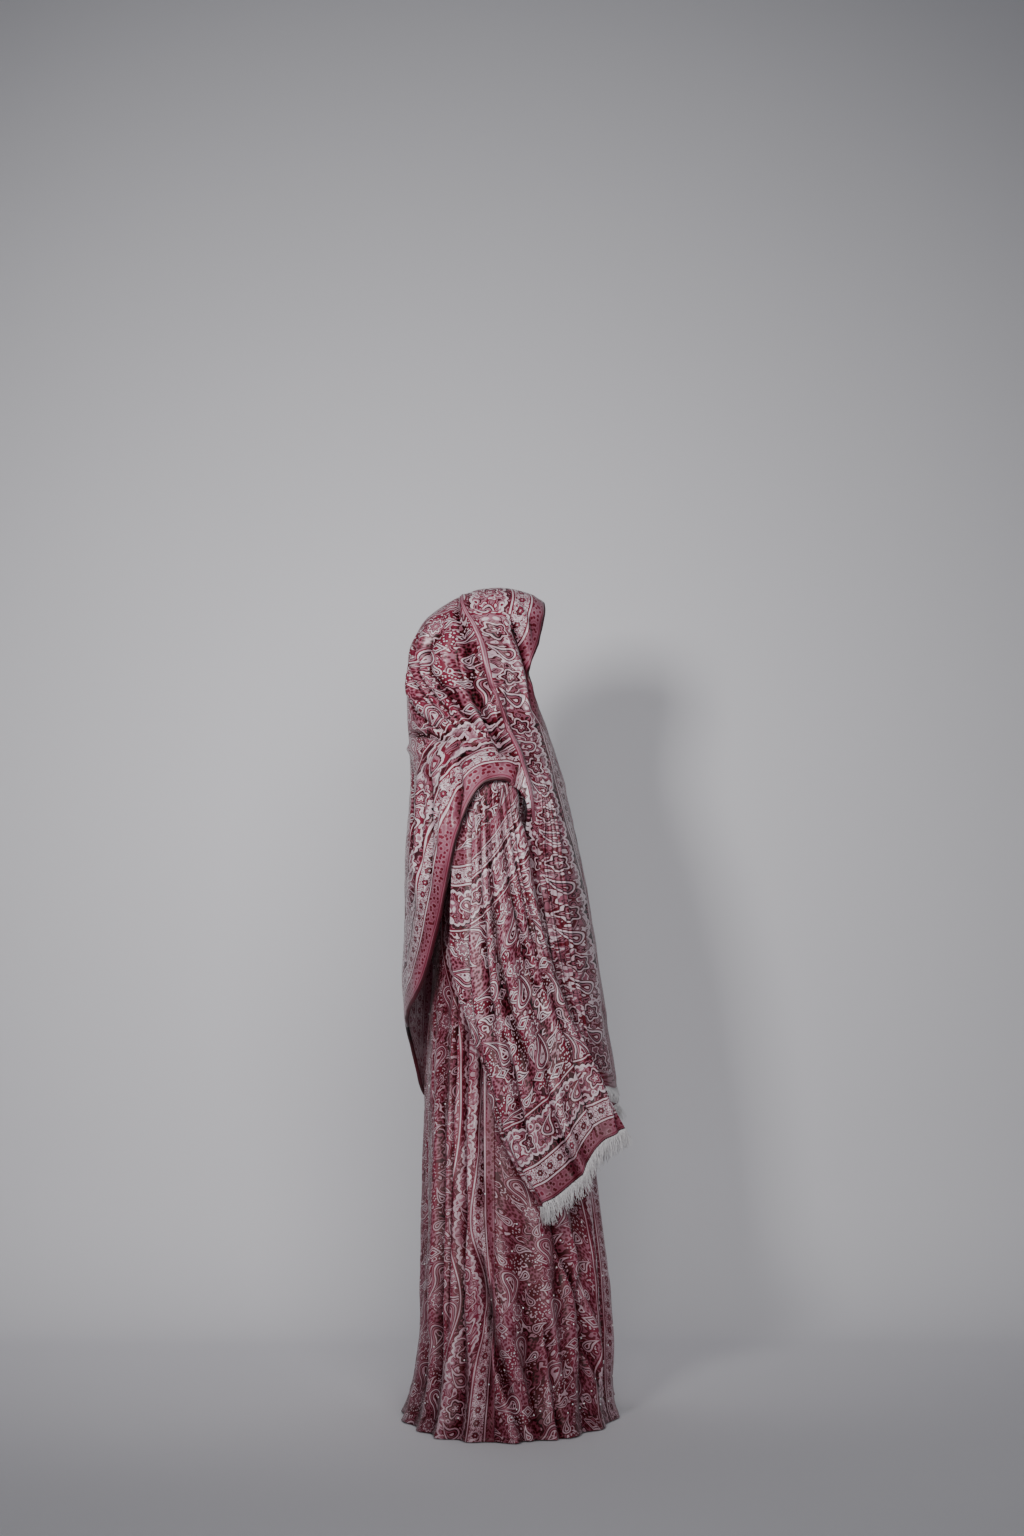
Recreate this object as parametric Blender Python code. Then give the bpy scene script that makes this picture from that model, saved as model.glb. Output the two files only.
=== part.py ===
"""A floor-length abaya with wide fringed sleeves, worn under its own head shawl of the same jacquard.

The garment keeps the hollow form it has when it is worn. Lengths are in metres. Tables give heights above the
floor, and the empty HELD lowers everything so that the origin is the middle of the shoulder line. The front of
the garment faces -Y and its own right side is -X.
"""

import math

import bmesh
import bpy
import numpy as np
from mathutils.bvhtree import BVHTree

# Driving dimensions
SHOULDER_HEIGHT = 1.38
CLOTH = 0.002
SEAM_GAP = 0.0004
LAYER_GAP = 0.0012
LIFT_ROUNDS = 3
LIFT_STEPS = 4
RIGHT, LEFT = -1, 1

# Cuts of cloth
SHAWL_WIDTH = 1.05
BORDER_WIDTH = 0.165

# Armhole, a standing ellipse on each side of the robe
ARMHOLE_X = 0.170
ARMHOLE_Z = 1.281
ARMHOLE_HALF_HEIGHT = 0.091
ARMHOLE_HALF_DEPTH = 0.058
UNDERARM_Z = ARMHOLE_Z - ARMHOLE_HALF_HEIGHT
SHOULDER_POINT_Z = ARMHOLE_Z + ARMHOLE_HALF_HEIGHT
YOKE_END_Z = UNDERARM_Z - 0.07
YOKE_ROWS = 9
ARMHOLE_SHARE = 0.75

# Neckline
NECK_HALF_WIDTH = 0.072
NECK_SIDE_Z = 1.405
NECK_FRONT_Y, NECK_FRONT_Z = -0.088, 1.335
NECK_BACK_Y, NECK_BACK_Z = 0.070, 1.392
FRONT_OPENING = 0.004

# The robe's rings, from the underarm to the floor
ROBE_COLUMNS = ("height", "half_width", "front", "back")
ROBE_RINGS = (
    (1.190, 0.170, 0.138, 0.112),
    (1.050, 0.178, 0.158, 0.124),
    (0.880, 0.187, 0.180, 0.134),
    (0.680, 0.204, 0.196, 0.142),
    (0.480, 0.238, 0.206, 0.147),
    (0.300, 0.268, 0.222, 0.149),
    (0.150, 0.292, 0.234, 0.154),
    (0.060, 0.308, 0.238, 0.166),
    (0.025, 0.320, 0.243, 0.177),
    (0.003, 0.338, 0.252, 0.188),
)

# Each fold of the robe: where it starts, and the way round from the front towards the garment's right
FOLD_COLUMNS = ("start_height", "start_angle", "hem_angle", "half_width", "depth")
ROBE_FOLDS = (
    (0.95, 8, 12, 12, 0.018),
    (1.00, 27, 35, 10, 0.026),
    (0.66, 47, 53, 9, 0.030),
    (0.62, 66, 62, 10, 0.034),
    (0.55, 90, 80, 11, 0.040),
    (0.80, 108, 104, 9, 0.026),
    (1.10, 126, 122, 10, 0.032),
    (1.05, 146, 141, 9, 0.024),
    (0.50, 160, 161, 10, 0.034),
    (1.05, 183, 181, 9, 0.026),
    (0.90, 203, 200, 10, 0.030),
    (1.05, 224, 221, 9, 0.028),
    (0.75, 243, 243, 10, 0.036),
    (0.55, 266, 266, 11, 0.036),
    (0.62, 288, 290, 10, 0.032),
    (0.95, 309, 313, 10, 0.030),
    (1.00, 334, 331, 9, 0.024),
    (0.40, 351, 348, 9, 0.020),
)

# Sleeve sections, from the armhole to the slanting cuff
SLEEVE_COLUMNS = ("travel", "height", "front", "back", "inner", "outer", "fore_slant", "side_slant", "draw_back")
SLEEVE_SECTIONS = (
    (0.00, 1.281, -0.058, 0.058, 0.1704, 0.1704, 0.000, 0.091, 0.000),
    (0.05, 1.263, -0.060, 0.062, 0.1740, 0.2060, 0.000, 0.084, 0.000),
    (0.12, 1.215, -0.064, 0.064, 0.1800, 0.2280, 0.000, 0.060, 0.000),
    (0.21, 1.140, -0.074, 0.064, 0.1850, 0.2420, 0.000, 0.025, 0.000),
    (0.33, 1.040, -0.094, 0.066, 0.1890, 0.2540, 0.000, 0.006, 0.000),
    (0.46, 0.940, -0.120, 0.064, 0.1940, 0.2640, 0.000, 0.000, 0.000),
    (0.58, 0.845, -0.152, 0.052, 0.2000, 0.2720, 0.006, 0.000, 0.000),
    (0.71, 0.745, -0.190, 0.022, 0.2080, 0.2800, 0.020, -0.002, 0.004),
    (0.84, 0.645, -0.224, -0.010, 0.2180, 0.2880, 0.048, -0.006, 0.012),
    (1.00, 0.527, -0.262, -0.090, 0.2260, 0.2960, 0.083, -0.010, 0.026),
)

# Each fold of a sleeve, the way round from its front edge over the outside
SLEEVE_FOLD_COLUMNS = ("start", "end", "start_angle", "end_angle", "half_width", "depth")
SLEEVE_FOLDS = (
    (0.14, 1.10, 36, 22, 15, 0.010),
    (0.16, 0.72, 64, 52, 13, 0.010),
    (0.18, 1.10, 90, 84, 15, 0.014),
    (0.20, 0.80, 115, 112, 13, 0.010),
    (0.22, 1.10, 140, 142, 16, 0.014),
    (0.30, 1.10, 208, 210, 18, 0.007),
    (0.30, 1.10, 290, 292, 20, 0.006),
)

# The form that the shawl lies on. Reach is the way down from the crown, measured on the cloth.
FORM_COLUMNS = ("reach", "height", "half_width", "front", "back")
SHAWL_FORM = (
    (0.00, 1.716, 0.000, 0.000, 0.000),
    (0.05, 1.708, 0.042, 0.048, 0.044),
    (0.11, 1.683, 0.070, 0.100, 0.098),
    (0.15, 1.650, 0.084, 0.112, 0.144),
    (0.20, 1.600, 0.095, 0.113, 0.174),
    (0.26, 1.545, 0.100, 0.106, 0.183),
    (0.32, 1.490, 0.107, 0.097, 0.184),
    (0.38, 1.426, 0.131, 0.108, 0.182),
    (0.44, 1.378, 0.177, 0.124, 0.178),
    (0.50, 1.328, 0.219, 0.138, 0.175),
    (0.56, 1.270, 0.239, 0.153, 0.177),
    (0.65, 1.185, 0.248, 0.174, 0.183),
    (0.80, 1.035, 0.240, 0.201, 0.188),
    (0.95, 0.885, 0.230, 0.224, 0.192),
    (1.10, 0.735, 0.224, 0.248, 0.180),
    (1.28, 0.555, 0.220, 0.275, 0.158),
)

FORM_ROUNDNESS = 0.82

# Stations along the shawl from the crown towards one end. Each has four places on the form that its crossing runs
# through: on the face edge, two within the cloth, and on the hem.
STATION_COLUMNS = (
    "along", "face_angle", "face_reach", "upper_angle", "upper_reach", "lower_angle", "lower_reach",
    "hem_angle", "hem_reach",
)
STATION_PLACES = (("face", 0.0), ("upper", 0.35), ("lower", 0.7), ("hem", 1.0))
RIGHT_STATIONS = (
    (0.00, 0, 0.110, 180, 0.280, 180, 0.680, 180, 1.030),
    (0.07, 29, 0.150, 127, 0.260, 156, 0.640, 161, 1.000),
    (0.13, 40, 0.200, 104, 0.275, 139, 0.570, 147, 0.945),
    (0.19, 50, 0.255, 90, 0.305, 122, 0.500, 133, 0.835),
    (0.25, 38, 0.310, 75, 0.340, 106, 0.460, 118, 0.680),
    (0.34, 13, 0.385, 56, 0.385, 82, 0.440, 98, 0.540),
    (0.43, 9, 0.490, 43, 0.455, 63, 0.470, 80, 0.525),
    (0.52, 9, 0.580, 30, 0.560, 49, 0.552, 65, 0.570),
    (0.62, 9, 0.680, 25, 0.680, 43, 0.670, 58, 0.665),
    (0.80, 9, 0.860, 25, 0.850, 42, 0.840, 54, 0.830),
    (0.96, 10, 1.010, 24, 1.000, 39, 0.990, 50, 0.985),
    (1.11, 10, 1.155, 22, 1.150, 35, 1.140, 44, 1.130),
)
LEFT_STATIONS = (
    (0.00, 0, 0.110, 180, 0.280, 180, 0.680, 180, 1.030),
    (0.07, 29, 0.150, 127, 0.260, 157, 0.675, 166, 1.090),
    (0.13, 40, 0.200, 104, 0.275, 140, 0.640, 151, 1.185),
    (0.19, 50, 0.255, 90, 0.305, 122, 0.550, 136, 1.120),
    (0.25, 38, 0.310, 75, 0.340, 106, 0.480, 121, 0.870),
    (0.34, 13, 0.385, 56, 0.385, 82, 0.445, 100, 0.600),
    (0.43, 9, 0.490, 43, 0.455, 63, 0.470, 81, 0.540),
    (0.52, 9, 0.580, 30, 0.560, 49, 0.552, 66, 0.572),
    (0.62, 9, 0.680, 25, 0.680, 43, 0.670, 59, 0.665),
    (0.80, 9, 0.860, 25, 0.850, 42, 0.840, 55, 0.830),
    (0.96, 10, 1.010, 24, 1.000, 39, 0.990, 51, 0.985),
    (1.11, 10, 1.155, 22, 1.150, 35, 1.140, 45, 1.130),
)
SHOULDER_ALONG = 0.43
PLEATS = 5
PLEAT_DEPTH = 0.016
PLEAT_STEEPNESS = 0.5
FACE_SHARE = 0.45
HEM_SHARE_BEHIND, HEM_SHARE_BEFORE = 0.30, 0.12

# Fringes
FRINGE_LENGTH = 0.034
FRINGE_STRIP = 0.004
LOCK_TIP = 0.45

# Colours, linear
ROSE_CLOTH = (0.270, 0.105, 0.130, 1.0)
WHITE_FRINGE = (0.620, 0.600, 0.610, 1.0)


def column(table, names, name):
    """One named column of a table."""
    return np.array([row[names.index(name)] for row in table], float)


def smooth_read(keys, values, at, level_start=False):
    """A cubic curve through (keys, values), read at the given keys."""
    slopes = np.gradient(values, keys)
    if level_start:
        slopes[0] = 0
    at = np.clip(at, keys[0], keys[-1])
    i = np.clip(np.searchsorted(keys, at, side="right") - 1, 0, len(keys) - 2)
    width = keys[i + 1] - keys[i]
    t = (at - keys[i]) / width
    return (
        values[i] * (2 * t**3 - 3 * t**2 + 1)
        + values[i + 1] * (3 * t**2 - 2 * t**3)
        + slopes[i] * width * (t**3 - 2 * t**2 + t)
        + slopes[i + 1] * width * (t**3 - t**2)
    )


def read(table, names, key, name, at, level_start=False):
    """A table's named column as a smooth curve over its key column."""
    keys, values = column(table, names, key), column(table, names, name)
    order = np.argsort(keys)
    return smooth_read(keys[order], values[order], at, level_start)


def ease(t):
    """A smooth step from 0 to 1."""
    t = np.clip(t, 0, 1)
    return t * t * (3 - 2 * t)


def turn_between(a, b):
    """The smaller turn from angle b to angle a, in degrees."""
    return (a - b + 180) % 360 - 180


def bump(offset, half_width):
    """A soft ridge across a fold: 1 on its line and 0 past its half width."""
    return np.cos(np.clip(offset / half_width, -1, 1) * math.pi / 2) ** 2


def normals_of(points):
    """Unit normals of a grid of points, by the cross product of its two directions."""
    across = np.gradient(points, axis=1)
    down = np.gradient(points, axis=0)
    normal = np.cross(across, down)
    return normal / np.maximum(np.linalg.norm(normal, axis=2, keepdims=True), 1e-12)


def facing(points, normals, centre):
    """The normals turned so that they point away from a centre line, point by point."""
    outward = ((points - centre) * normals).sum(axis=2).mean()
    return normals if outward > 0 else -normals


# Robe


def robe_rings(angles, heights):
    """Points of the robe's skirt and bodice. Rings are half ellipses in front and behind, with folds stood off."""
    half_width = read(ROBE_RINGS, ROBE_COLUMNS, "height", "half_width", heights)
    front = read(ROBE_RINGS, ROBE_COLUMNS, "height", "front", heights)
    back = read(ROBE_RINGS, ROBE_COLUMNS, "height", "back", heights)
    sine, cosine = np.sin(np.radians(angles)), np.cos(np.radians(angles))
    depth = np.where(cosine > 0, front, back)
    fold = np.zeros_like(heights)
    for start_height, start_angle, hem_angle, width, deep in ROBE_FOLDS:
        share = np.clip(1 - heights / start_height, 0, 1)
        middle = start_angle + (hem_angle - start_angle) * share
        fold += deep * ease(share * 1.15) * bump(turn_between(angles, middle), width)
    normal = np.stack([-sine / half_width, -cosine / depth], axis=-1)
    normal /= np.linalg.norm(normal, axis=-1, keepdims=True)
    x = -half_width * sine + fold * normal[..., 0]
    y = -depth * cosine + fold * normal[..., 1]
    return np.stack([x, y, heights], axis=-1)


def armhole_point(side, turn):
    """A point on the armhole: turn 0 is its top, 90 its front edge and 270 its back edge."""
    return np.stack(
        [
            np.full_like(turn, side * ARMHOLE_X),
            -ARMHOLE_HALF_DEPTH * np.sin(np.radians(turn)),
            ARMHOLE_Z + ARMHOLE_HALF_HEIGHT * np.cos(np.radians(turn)),
        ],
        axis=-1,
    )


def top_line(side, share, behind):
    """The neckline and then the shoulder seam, from the middle of the front or back to the shoulder point."""
    neck_share = 0.45
    turn = np.clip(share / neck_share, 0, 1) * math.pi / 2
    opening = 0.0 if behind else FRONT_OPENING / 2
    middle_y = NECK_BACK_Y if behind else NECK_FRONT_Y
    middle_z = NECK_BACK_Z if behind else NECK_FRONT_Z
    neck = np.stack(
        [
            side * (opening + (NECK_HALF_WIDTH - opening) * np.sin(turn)),
            middle_y * np.cos(turn),
            middle_z + (NECK_SIDE_Z - middle_z) * (1 - np.cos(turn)),
        ],
        axis=-1,
    )
    along = np.clip((share - neck_share) / (1 - neck_share), 0, 1)[..., None]
    seam_end = np.array([side * ARMHOLE_X, 0.0, SHOULDER_POINT_Z])
    seam_start = np.array([side * NECK_HALF_WIDTH, 0.0, NECK_SIDE_Z])
    seam = seam_start + (seam_end - seam_start) * along
    return np.where((share < neck_share)[..., None], neck, seam)


def yoke(side, angles, behind):
    """The panel above the bust: a patch between neck and shoulder, centre line, armhole and bodice ring."""
    share = np.linspace(0, 1, len(angles))
    down = np.linspace(0, 1, YOKE_ROWS)
    top = top_line(side, share, behind)
    ring = robe_rings(angles, np.full(len(angles), YOKE_END_Z))
    turn = 180 * np.minimum(down / ARMHOLE_SHARE, 1)
    edge = armhole_point(side, turn if not behind else 360 - turn)
    below = np.clip((down - ARMHOLE_SHARE) / (1 - ARMHOLE_SHARE), 0, 1)[:, None]
    edge = edge + (ring[-1] - edge) * below
    centre = top[0] + (ring[0] - top[0]) * down[:, None]
    centre[:, 1] += (-0.012 if not behind else 0.014) * np.sin(math.pi * down)
    v, u = down[:, None, None], share[None, :, None]
    corners = (
        (1 - v) * (1 - u) * top[0] + (1 - v) * u * top[-1] + v * (1 - u) * ring[0] + v * u * ring[-1]
    )
    return (1 - v) * top + v * ring + (1 - u) * centre[:, None] + u * edge[:, None] - corners


def robe_panel(side, first_angle, last_angle, columns, behind, hem_lift=0.0):
    """A grid of outer points for one panel, from the neck and shoulder down to the hem."""
    heights = np.array([0.96, 0.80, 0.65, 0.50, 0.36, 0.24, 0.14, 0.07, 0.003])
    across = np.linspace(0, 1, columns)
    lift = hem_lift * ease((1 - across) * 2)
    below = lift + heights[:, None] * (1 - lift / heights[0])
    drift = front_edge_drift(below) * (1 - across) if not behind else 0
    angles = first_angle + (last_angle - first_angle) * across + np.sign(last_angle - first_angle) * drift
    skirt = robe_rings(angles % 360, below)
    top = yoke(side, (first_angle + (last_angle - first_angle) * across) % 360, behind)
    return np.concatenate([top, skirt])


def front_edge_drift(heights):
    """How far, in degrees, a front's edge swings from the centre: the two fronts part towards the hem."""
    return 5.0 * ease(1 - heights / 0.55)


def wall(name, outer, normals, material, round_it=False):
    """A closed wall of cloth: the outer grid, the same grid moved in by the cloth's thickness, and its rims."""
    rows, columns = outer.shape[:2]
    inner = outer - normals * CLOTH
    points = np.concatenate([outer.reshape(-1, 3), inner.reshape(-1, 3)])
    half = rows * columns
    spans = columns if round_it else columns - 1
    faces = []
    for r in range(rows - 1):
        for c in range(spans):
            n = (c + 1) % columns
            a, b, d, e = r * columns + c, r * columns + n, (r + 1) * columns + n, (r + 1) * columns + c
            for triangle in ((a, b, d), (a, d, e)):
                faces.append(triangle)
                faces.append(tuple(half + k for k in reversed(triangle)))
    for c in range(spans):
        n = (c + 1) % columns
        last = (rows - 1) * columns
        faces.append((n, c, half + c, half + n))
        faces.append((last + c, last + n, half + last + n, half + last + c))
    if not round_it:
        for r in range(rows - 1):
            a, b = r * columns, (r + 1) * columns
            faces.append((a, b, half + b, half + a))
            a, b = a + columns - 1, b + columns - 1
            faces.append((b, a, half + a, half + b))
    return solid(name, points, faces, material)


def solid(name, points, faces, material):
    """A mesh object whose faces point outwards, hung from the empty at the floor."""
    mesh = bpy.data.meshes.new(name)
    mesh.from_pydata([tuple(p) for p in points], [], faces)
    work = bmesh.new()
    work.from_mesh(mesh)
    bmesh.ops.recalc_face_normals(work, faces=work.faces)
    work.to_mesh(mesh)
    work.free()
    mesh.shade_smooth()
    mesh.set_sharp_from_angle(angle=math.radians(50))
    made = bpy.data.objects.new(name, mesh)
    made.data.materials.append(material)
    made.parent = HELD
    bpy.context.scene.collection.objects.link(made)
    return made


def outer_tree(outer, normals, round_it=False):
    """A search tree of a wall's outer side, with its faces turned the way the normals point."""
    rows, columns = outer.shape[:2]
    spans = columns if round_it else columns - 1
    faces = []
    for r in range(rows - 1):
        for c in range(spans):
            n = (c + 1) % columns
            faces.append((r * columns + c, r * columns + n, (r + 1) * columns + n, (r + 1) * columns + c))
    flat = outer.reshape(-1, 3)
    a, b, c, _ = faces[len(faces) // 2]
    way = np.cross(flat[b] - flat[a], flat[c] - flat[a]) @ normals.reshape(-1, 3)[a]
    if way < 0:
        faces = [tuple(reversed(f)) for f in faces]
    return BVHTree.FromPolygons([tuple(p) for p in flat], faces)


def lift_off(point, layers_below, nearby=0.07):
    """The move that brings a point clear of the layers under it, along their normals."""
    move = np.zeros(3)
    for tree, clearance in layers_below:
        spot, normal, _, distance = tree.find_nearest(tuple(point + move), nearby)
        if spot is None:
            continue
        away = (point + move - np.array(spot)) @ np.array(normal)
        beside = math.sqrt(max(distance**2 - away**2, 0))
        if away < clearance and beside < 0.003 + 0.4 * abs(away):
            move += np.array(normal) * (clearance - away)
    return move


def triangle_places(steps):
    """Places all over a cell's two triangles, as shares of its upper two and then its lower two corners."""
    places = set()
    for first in range(steps + 1):
        for second in range(steps + 1 - first):
            third = steps - first - second
            places.add((first, second, third, 0))
            places.add((first, 0, third, second))
    return [tuple(share / steps for share in place) for place in sorted(places)]


def lie_over(points, layers_below):
    """Cloth lies on what it covers: grid points, then places on each cell's two triangles with their corners, rise."""
    points = points.copy()
    for row in points:
        for point in row:
            point += lift_off(point, layers_below)
    for _ in range(LIFT_ROUNDS):
        lift = np.zeros_like(points)
        for a, b, c, d in triangle_places(LIFT_STEPS):
            within = a * points[:-1, :-1] + b * points[:-1, 1:] + c * points[1:, 1:] + d * points[1:, :-1]
            for r, row in enumerate(within):
                for k, place in enumerate(row):
                    move = lift_off(place, layers_below)
                    corners = lift[r : r + 2, k : k + 2]
                    corners[(corners**2).sum(axis=2) < (move**2).sum()] = move
        points += lift
    return points


def build_robe(material):
    """Two fronts and a back, which meet at the shoulder and side seams."""
    under = []
    side_gap = math.degrees(SEAM_GAP / 2 / 0.2)
    panels = (
        ("robe_front_right", RIGHT, 0.6, 90 - side_gap, 17, False, 0.0),
        ("robe_front_left", LEFT, 359.4, 270 + side_gap, 17, False, 0.022),
    )
    for name, side, first, last, columns, behind, lift in panels:
        outer = robe_panel(side, first, last, columns, behind, lift)
        normals = facing(outer, normals_of(outer), axis_of(outer))
        settle_seams(outer, normals, -1, (-1,))
        wall(name, outer, normals, material)
        under.append((outer_tree(outer, normals), CLOTH + LAYER_GAP))
    right = robe_panel(RIGHT, 180, 90 + side_gap, 15, True)
    left = robe_panel(LEFT, 180, 270 - side_gap, 15, True)
    outer = np.concatenate([right[:, ::-1], left[:, 1:]], axis=1)
    normals = facing(outer, normals_of(outer), axis_of(outer))
    settle_seams(outer, normals, 1, (0, -1))
    wall("robe_back", outer, normals, material)
    under.append((outer_tree(outer, normals), CLOTH + LAYER_GAP))
    return under


def axis_of(outer):
    """The points of the garment's upright axis, level with each grid point."""
    centre = outer * 0
    centre[..., 2] = outer[..., 2] - 0.05
    return centre


def settle_seams(outer, normals, way, side_columns):
    """Panels end square at the shoulder and side seams, each half a gap from the seam's line."""
    on_seam = np.abs(outer[0, :, 1]) < 1e-9
    outer[0, on_seam, 1] += way * SEAM_GAP / 2
    normals[0, on_seam] = (0, 0, 1)
    seam_start = math.ceil(ARMHOLE_SHARE * (YOKE_ROWS - 1))
    for side_column in side_columns:
        outer[seam_start:YOKE_ROWS, side_column, 1] = way * SEAM_GAP / 2
        normals[seam_start:, side_column, 1] = 0
        normals[seam_start:, side_column] /= np.linalg.norm(normals[seam_start:, side_column], axis=1)[:, None]


def sleeve_surface(side, travel, angles):
    """Points of a sleeve: a ring at each section, from the front edge over the outside, with folds stood off."""
    values = {
        name: read(SLEEVE_SECTIONS, SLEEVE_COLUMNS, "travel", name, travel) for name in SLEEVE_COLUMNS[1:]
    }
    sine, cosine = np.sin(np.radians(angles)), np.cos(np.radians(angles))
    half_depth = (values["back"] - values["front"]) / 2
    half_width = (values["outer"] - values["inner"]) / 2
    fold = np.zeros_like(travel)
    for start, end, first, last, width, deep in SLEEVE_FOLDS:
        share = np.clip((travel - start) / (end - start), 0, 1)
        strength = ease(share * 4) * ease((1 - share) * 4 + (1 if end > 1 else 0))
        fold += deep * strength * bump(turn_between(angles, first + (last - first) * share), width)
    y = (values["back"] + values["front"]) / 2 - (half_depth + fold * np.abs(cosine)) * cosine
    y = y + values["draw_back"] * np.clip(sine, 0, 1) * np.clip(cosine, 0, 1) * 2
    x = (values["outer"] + values["inner"]) / 2 + (half_width + fold * np.abs(sine)) * sine
    z = values["height"] + values["fore_slant"] * cosine + values["side_slant"] * sine
    return np.stack([side * x, y, z], axis=-1)


def sleeve_grid(side, rows=13, columns=30):
    """The outer grid of a sleeve, closed the way round."""
    travel = np.linspace(0, 1, rows)[:, None] ** 1.3 * np.ones((1, columns))
    angles = np.linspace(0, 360, columns, endpoint=False)[None, :] * np.ones((rows, 1))
    return sleeve_surface(side, travel, angles)


def ring_normals(outer):
    """Normals of a grid that closes the way round, pointing away from each ring's middle."""
    wrapped = np.concatenate([outer[:, -1:], outer, outer[:, :1]], axis=1)
    normals = normals_of(wrapped)[:, 1:-1]
    return facing(outer, normals, outer.mean(axis=1, keepdims=True))


def build_sleeves(material, yarn):
    """Both sleeves, with the fringe along each cuff."""
    under = []
    for side, name in ((RIGHT, "right"), (LEFT, "left")):
        outer = sleeve_grid(side)
        normals = ring_normals(outer)
        normals[0, :, 0] = 0
        normals[0] /= np.linalg.norm(normals[0], axis=1, keepdims=True)
        wall(f"sleeve_{name}", outer, normals, material, round_it=True)
        under.append((outer_tree(outer, normals, round_it=True), CLOTH + LAYER_GAP))
        cuff = outer[-1] - normals[-1] * CLOTH / 2
        way = outer[-1] - outer[-2]
        fringe(f"cuff_fringe_{name}", cuff, way, normals[-1], yarn, round_it=True)
    return under


# Fringe


def halved(values, closed):
    """A line of values with the middle of every step added to it."""
    following = np.roll(values, -1, axis=0)
    steps = np.stack([values, (values + following) / 2], axis=1).reshape(-1, values.shape[1])
    return steps if closed else steps[:-1]


def fringe(name, edge, way, outward, material, round_it=False):
    """A narrow strip along the cloth's edge with four-sided locks hanging from every other part of it."""
    way = way / np.linalg.norm(way, axis=1, keepdims=True)
    root, way, outward = (halved(values, round_it) for values in (edge, way, outward))
    count = len(root)
    way = way / np.linalg.norm(way, axis=1, keepdims=True)
    outward = outward - (outward * way).sum(axis=1, keepdims=True) * way
    outward = outward / np.linalg.norm(outward, axis=1, keepdims=True) * CLOTH / 2
    top, bottom = root + way * SEAM_GAP, root + way * (SEAM_GAP + FRINGE_STRIP)
    points = np.concatenate([top + outward, top - outward, bottom + outward, bottom - outward])
    faces = []
    tips = []
    for i in range(count if round_it else count - 1):
        n = (i + 1) % count
        top_out, top_in, low_out, low_in = ((k * count + i, k * count + n) for k in range(4))
        faces.append((*top_out, *reversed(low_out)))
        faces.append((*reversed(top_in), *low_in))
        faces.append((*top_in, *reversed(top_out)))
        if i % 2:
            faces.append((*low_out, *reversed(low_in)))
            continue
        base = (*low_out, *reversed(low_in))
        corners = points[list(base)]
        middle = corners.mean(axis=0)
        length = FRINGE_LENGTH * (0.88 + 0.12 * math.sin(1.7 * i))
        drop = 0.35 * way[i] + np.array([0.0, 0.0, -0.65])
        tip = middle + (corners - middle) * LOCK_TIP + drop / np.linalg.norm(drop) * length
        first = len(points) + 4 * len(tips)
        tips.append(tip)
        for k in range(4):
            faces.append((base[k], base[(k + 1) % 4], first + (k + 1) % 4, first + k))
        faces.append((first, first + 1, first + 2, first + 3))
    if not round_it:
        last = count - 1
        faces.append((0, 2 * count, 3 * count, count))
        faces.append((last, count + last, 3 * count + last, 2 * count + last))
    return solid(name, np.concatenate([points, *tips]), faces, material)


# Shawl


def shawl_place(angles, reach):
    """A point on the form that carries the shawl, by its angle from the front and its reach from the crown."""
    values = {name: read(SHAWL_FORM, FORM_COLUMNS, "reach", name, reach) for name in FORM_COLUMNS[1:]}
    sine, cosine = np.sin(np.radians(angles)), np.cos(np.radians(angles))
    depth = np.where(cosine > 0, values["front"], values["back"])
    sideways = np.sign(sine) * np.abs(sine) ** FORM_ROUNDNESS
    forwards = np.sign(cosine) * np.abs(cosine) ** FORM_ROUNDNESS
    return np.stack([values["half_width"] * sideways, -depth * forwards, values["height"]], axis=-1)


def station(stations, name, along):
    """A named value at places along the shawl. Reaches run level over the crown, where both sides meet."""
    return read(stations, STATION_COLUMNS, "along", name, along, level_start=name.endswith("reach"))


def border_shares(along, length):
    """The parts of a crossing that the face border and the hem border take, at their full width where it fits."""
    hem_share = HEM_SHARE_BEHIND + (HEM_SHARE_BEFORE - HEM_SHARE_BEHIND) * ease((along - 0.36) / 0.2)
    return np.minimum(BORDER_WIDTH / length, FACE_SHARE), np.minimum(BORDER_WIDTH / length, hem_share)


def cross_share(along, across, length):
    """How far along a crossing a thread lies: both borders keep their width and the middle takes the pleats."""
    border = BORDER_WIDTH / SHAWL_WIDTH
    front, hem = border_shares(along, length)
    middle = front + (1 - front - hem) * (across - border) / (1 - 2 * border)
    near_hem = 1 - hem * (1 - across) / border
    return np.where(across < border, front * across / border, np.where(across > 1 - border, near_hem, middle))


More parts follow.
